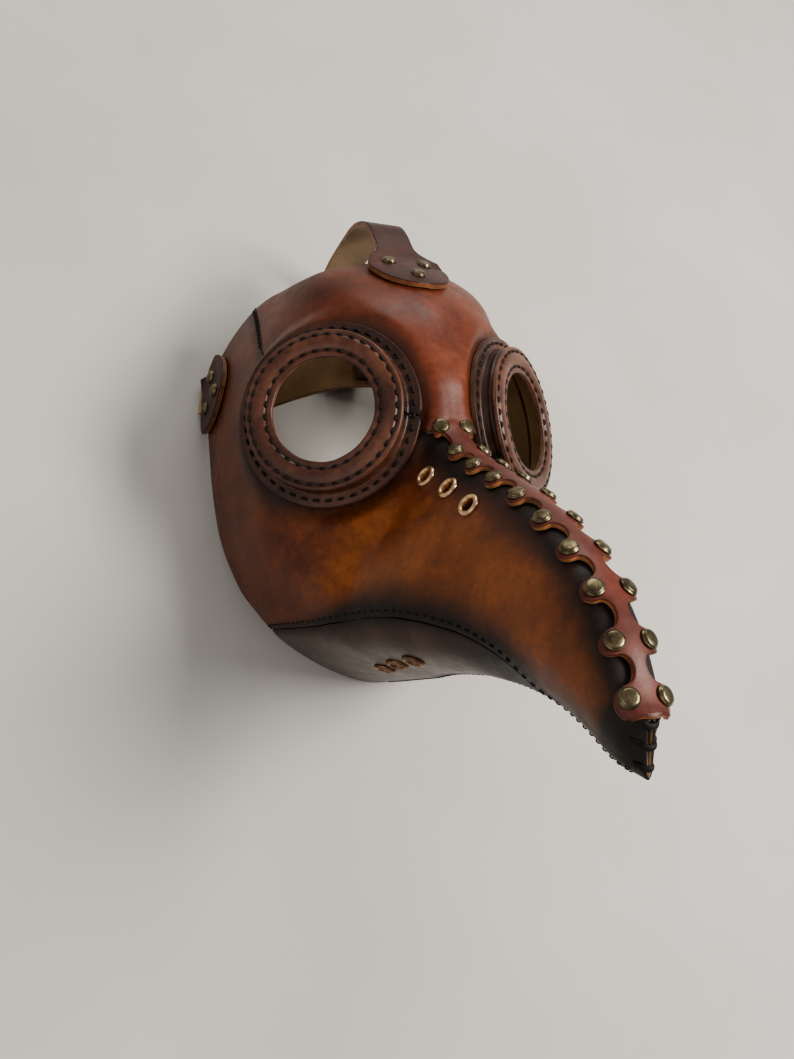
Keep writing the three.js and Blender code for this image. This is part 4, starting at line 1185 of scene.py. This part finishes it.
def add_tab(ribbon, tab):
    """Rows of the tab up to where the strap leaves the shell."""
    egg = tab["widest"] * (1 - np.cos(np.linspace(0.09, math.pi / 2, 24)))
    onward = np.linspace(tab["widest"], tab["leaves"], 1 + math.ceil((tab["leaves"] - tab["widest"]) / 0.8))
    distances = np.concatenate([egg, onward[1:]])
    for distance, half_width in zip(distances, tab_half_width(distances, tab)):
        ribbon.on_shell(tab["tip"] - distance / tab["section_length"], tab["centre"], half_width)


def add_top_strap():
    ribbon = Ribbon()
    add_tab(ribbon, TOP_TAB)
    onward = ribbon.end()[1:] + np.array([(0, 0), (6, -4), (12, -7), (20, -9.8), (28, -12.6), (37, -18)])
    drop = [(146.5, 75), (150, 53), (151, 31), (147.5, 11), (139, 3)]
    floor = [(131, LYING_STRAP), (HINGE_Y + 6, LYING_STRAP)]
    path = smooth_path(upright([*onward, *drop, *floor]), STRAP_ROW)[2:]
    fold = np.radians(np.linspace(-90, 90, 19))
    loop = np.stack([HINGE_Y - FOLD_RADIUS * np.cos(fold), BAR_HEIGHT + FOLD_RADIUS * np.sin(fold)], -1)
    doubled = LYING_STRAP + STRAP_LEATHER + GAP
    back = [(HINGE_Y + y, doubled + z) for y, z in ((5, 2), (9, 0.9), (14, 0.2), (19, 0))]
    path = np.concatenate([path, upright(loop), smooth_path(upright([loop[-1], *back]), 1.4)[1:]])
    distances = TOP_TAB["leaves"] + (np.arange(len(path)) + 2) * STRAP_ROW
    ribbon.along(path, X_AXIS, tab_half_width(distances, TOP_TAB))
    ribbon.add("top_strap")
    add_tab_rivets("top_tab_rivet", TOP_TAB, 1)


def add_band():
    """The band behind the head, and where its middle is from front to back."""
    ribbon = Ribbon()
    add_tab(ribbon, SIDE_TAB)
    x, y, z = ribbon.end()
    start = unit(ribbon.outer[-1][-1] - ribbon.outer[-1][0])
    foot = [(x, z), (x + 0.5, z - 4), (x + 0.4, 4.2), (x - 0.5, 2.2)]
    foot += [(x - 2.6, LYING_STRAP), (72, LYING_STRAP)]
    arch = [(63, 3.6), (52, 12), (40, 24), (27, 35), (13, 42.5), (0, BAND_CREST)]
    path = smooth_path(np.insert(foot + arch, 1, y, axis=1), STRAP_ROW)[2:]
    levelled = smoothstep(np.arange(len(path)), 0, 10)[:, None]
    ribbon.along(path, mix(start, np.array([0, -1.0, 0]), levelled), STRAP_WIDTH / 2)
    ribbon.outer[-1][:, 0] = ribbon.inner[-1][:, 0] = 0
    ribbon.mirror()
    ribbon.add("side_band")
    for label, side in SIDES:
        add_tab_rivets(f"side_tab_rivet_{label}", SIDE_TAB, side)
    return y


def add_rear_strap(band_y):
    """Strap from the buckle to the band, its rounded end past the buckle."""
    over = BAR_HEIGHT + FOLD_RADIUS + STRAP_LEATHER + GAP + 0.5
    far = HINGE_Y - BUCKLE_LENGTH
    on_band = BAND_CREST + STRAP_LEATHER + GAP + 0.3
    route = [
        (HINGE_Y + 26, LYING_STRAP + 7.5), (HINGE_Y + 16, over - 1.8), (HINGE_Y + 5, over),
        (HINGE_Y - 3, over - 0.4), (far + 9, over / 2), (far + 4, LYING_STRAP + 0.8), (far, LYING_STRAP),
        (far - 5, LYING_STRAP + 1.5), (band_y + 16, 14), (band_y + 17, 36), (band_y + 15, on_band - 3),
        (band_y + 10.5, on_band + 0.9), (band_y + 4, on_band), (band_y - 3, on_band), (band_y - 10, on_band),
    ]
    path = smooth_path(upright(route), STRAP_ROW)
    rounded = np.minimum(1, (np.arange(len(path)) + 0.5) * STRAP_ROW / STRAP_POINT)
    ribbon = Ribbon()
    ribbon.along(path, -X_AXIS, STRAP_WIDTH / 2 * np.sin(rounded * math.pi / 2))
    piece = ribbon.add("rear_strap")
    upward = np.cross(tangents_of(path), X_AXIS)
    rows = [round(distance / STRAP_ROW) for distance in STRAP_HOLES]
    cut_holes(piece, [drill(HOLE_RADIUS, -4, 4, 16, path[i], upward[i]) for i in rows])
    for i, y in enumerate((band_y + 3, band_y - 6), 1):
        add_rivet(f"band_rivet_{i}", np.array([0, y, on_band + STRAP_LEATHER / 2 + STRAP_RIVET_GAP]), Z_AXIS)


def wire_loop(corners, radius, turn_radius):
    """Round wire bent to a closed loop of straight runs and round corners, lying level."""
    t = np.linspace(0, 1, 7)[:, None]
    path = []
    for before, corner, after in zip(np.roll(corners, 1, 0), corners, np.roll(corners, -1, 0)):
        start = corner + unit(before - corner) * turn_radius
        end = corner + unit(after - corner) * turn_radius
        path.append((1 - t) ** 2 * start + 2 * t * (1 - t) * corner + t**2 * end)
    path = np.concatenate(path)
    across = np.cross(Z_AXIS, unit(np.roll(path, -1, 0) - np.roll(path, 1, 0)))
    return swept(path, across, Z_AXIS, radius, radius, 12, closed=True)


def add_buckle():
    """Wire frame, and a prong that is wrapped round its near side and rests on its far one."""
    half_x = (STRAP_WIDTH + 2 * WIRE + 3) / 2
    near, far = HINGE_Y, HINGE_Y - BUCKLE_LENGTH
    level = ((-half_x, near), (half_x, near), (half_x, far), (-half_x, far))
    corners = np.array([(x, y, BAR_HEIGHT) for x, y in level])
    wrap = np.radians(np.linspace(-60, 200, 14))
    curl = np.stack([near + PRONG_WRAP * np.cos(wrap), BAR_HEIGHT + PRONG_WRAP * np.sin(wrap)], -1)
    tip = [(near - 6, BAR_HEIGHT + 2.2), (far + 3, BAR_HEIGHT + 2.0), (far - 0.8, BAR_HEIGHT + 1.7)]
    path = np.concatenate([upright(curl[:-1]), smooth_path(upright([curl[-1], *tip]), 1.0)])
    prong = swept(path, X_AXIS, np.cross(tangents_of(path), X_AXIS), 0.9, 0.75, 10)
    bodies = [wire_loop(corners, WIRE, 2.6), prong]
    add_bodies("buckle_wire", bodies, BRASS, ["buckle_frame"])


# Seams


def add_seam_stitches():
    """Rows beside the side seams, crosses over the temples' seams, and bars over the seam under the beak."""
    beside_seam = beside(SIDE_SEAM, -SEAM_MARGIN)
    for section in (12, 12.7, 13.4, 14.1, 14.6):
        beside_seam.append((section, float(steps_at(section, KEEL, -SEAM_MARGIN))))
    for label, side in SIDES:
        bodies = stitches(*shell_line(beside_seam, 0.05, side), *SIDE_STITCH)
        add_bodies(f"side_seam_stitches_{label}", bodies, THREAD)
        line, normals = shell_line(BROW_SEAM[:3], 0.1, side)
        bodies = [body for slant in (55, -55) for body in stitches(line, normals, *TEMPLE_STITCH, slant)]
        add_bodies(f"temple_stitches_{label}", bodies, THREAD)
    sections = np.linspace(1.4, 14.6, 500)
    normals = unit(shell_normals(sections, KEEL) * [0, 1, 1])
    line = to_floor(shell_points(sections, KEEL) - normals * 0.1)
    bodies = stitches(line, floor_direction(normals), *KEEL_STITCH, 90)
    add_bodies("keel_stitches", bodies, THREAD)


def add_tip_laces():
    """Three flat laces across the open front edge, each from a hole in one side panel to one in the other."""
    bodies = []
    down = unit((shell_points(TIP, KEEL) - shell_points(TIP, 0)) * [0, 1, 1])
    forward = np.array([0, down[2], -down[1]])
    for step in TIP_LACES:
        front = shell_points(TIP, step) * [0, 1, 1] + forward * 0.5
        half_section = np.linalg.norm((front - shell_points(TIP - 0.5, step))[1:])
        hole = TIP - 0.5 * LACE_REACH / half_section
        sections = np.array([hole, hole, (hole + TIP) / 2, TIP - 0.06])
        half = shell_points(sections, step)
        half[:, 0] *= skived(sections)
        half += shell_normals(sections, step) * np.array([-1.5, 0.1, 0.35, 0.3])[:, None]
        path = smooth_path(np.concatenate([half, [front], on_side(half[::-1], -1)]), 0.35)
        tangents = tangents_of(path)
        across = unit(down - tangents * (tangents @ down)[:, None])
        directions = (floor_direction(v) for v in (across, np.cross(tangents, across)))
        bodies.append(swept(to_floor(path), *directions, 1.1, 0.5, 12))
    add_bodies("tip_laces", bodies, THREAD)


# Picture


CAMERA_AT = np.array([-208.2, -459.3, -80.7])  # worn frame
CAMERA_LOOKS_AT = np.array([-34.4, -68.6, -36.1])
CAMERA_ROLL = -1.96  # degrees
PHOTO_ROWS = 1059
FOCAL_PIXELS = 991.7  # for that many rows
FLOOR_HALF = 6.0  # metres
FLOOR_LEVEL = -0.0004
LIGHTS = [  # name, place, size, power and colour
    ("key", (0.75, -0.15, 1.25), (0.7, 0.5), 24, (1.0, 0.96, 0.91)),
    ("fill", (-1.2, -0.5, 0.9), (1.2, 1.2), 3.5, (1.0, 0.98, 0.96)),
    ("back", (0.2, 1.3, 0.8), (1.0, 0.6), 7, (1.0, 0.97, 0.93)),
]
LIT_POINT = (0, 0, 0.1)


def add_camera():
    data = bpy.data.cameras.new("camera")
    data.sensor_fit = "VERTICAL"
    data.angle_y = 2 * math.atan(PHOTO_ROWS / 2 / FOCAL_PIXELS)
    data.clip_start = 0.01
    camera = new_object("camera", data)
    forward = unit(CAMERA_LOOKS_AT - CAMERA_AT)
    right = unit(np.cross(forward, Z_AXIS))
    up = np.cross(right, forward)
    roll = math.radians(CAMERA_ROLL)
    right, up = right * math.cos(roll) + up * math.sin(roll), up * math.cos(roll) - right * math.sin(roll)
    placed = np.eye(4)
    placed[:3, :3] = floor_direction(np.stack([right, up, -forward])).T
    placed[:3, 3] = in_metres(to_floor(CAMERA_AT))
    camera.matrix_world = Matrix(placed.tolist())
    bpy.context.scene.camera = camera


def add_light(name, place, size, power, colour):
    data = bpy.data.lights.new(name, "AREA")
    data.shape = "RECTANGLE"
    data.size, data.size_y = size
    data.energy = power
    data.color = colour
    light = new_object(name, data)
    light.location = place
    light.rotation_euler = (Vector(LIT_POINT) - Vector(place)).to_track_quat("-Z", "Y").to_euler()


def add_floor():
    n = Nodes("pale_floor")
    cloud = n.noise(6, 4)
    rough = n.mapped(cloud, 0.3, 0.7, 0.75, 0.85)
    material = n.finish(n.ramp(cloud, *FLOOR_SHADES), rough, {"Specular IOR Level": 0.2})
    mesh = bpy.data.meshes.new("floor")
    corners = [(x * FLOOR_HALF, y * FLOOR_HALF, FLOOR_LEVEL) for x, y in ((-1, -1), (1, -1), (1, 1), (-1, 1))]
    mesh.from_pydata(corners, [], [(0, 1, 2, 3)])
    mesh.materials.append(material)
    new_object("floor", mesh)


def add_studio():
    add_floor()
    world = bpy.data.worlds.new("studio")
    world.use_nodes = True
    background = world.node_tree.nodes["Background"]
    background.inputs["Color"].default_value = (1.0, 0.98, 0.95, 1)
    background.inputs["Strength"].default_value = 0.36
    bpy.context.scene.world = world
    for light in LIGHTS:
        add_light(*light)
    bpy.context.scene.view_settings.look = "AgX - Medium High Contrast"


add_camera()
add_studio()
add_crown()
add_side_panels()
add_lower_panels()
add_eye_bands()
add_eye_rings()
add_eye_stitches()
add_rivets()
add_eyelets()
add_top_strap()
add_rear_strap(add_band())
add_buckle()
add_seam_stitches()
add_tip_laces()
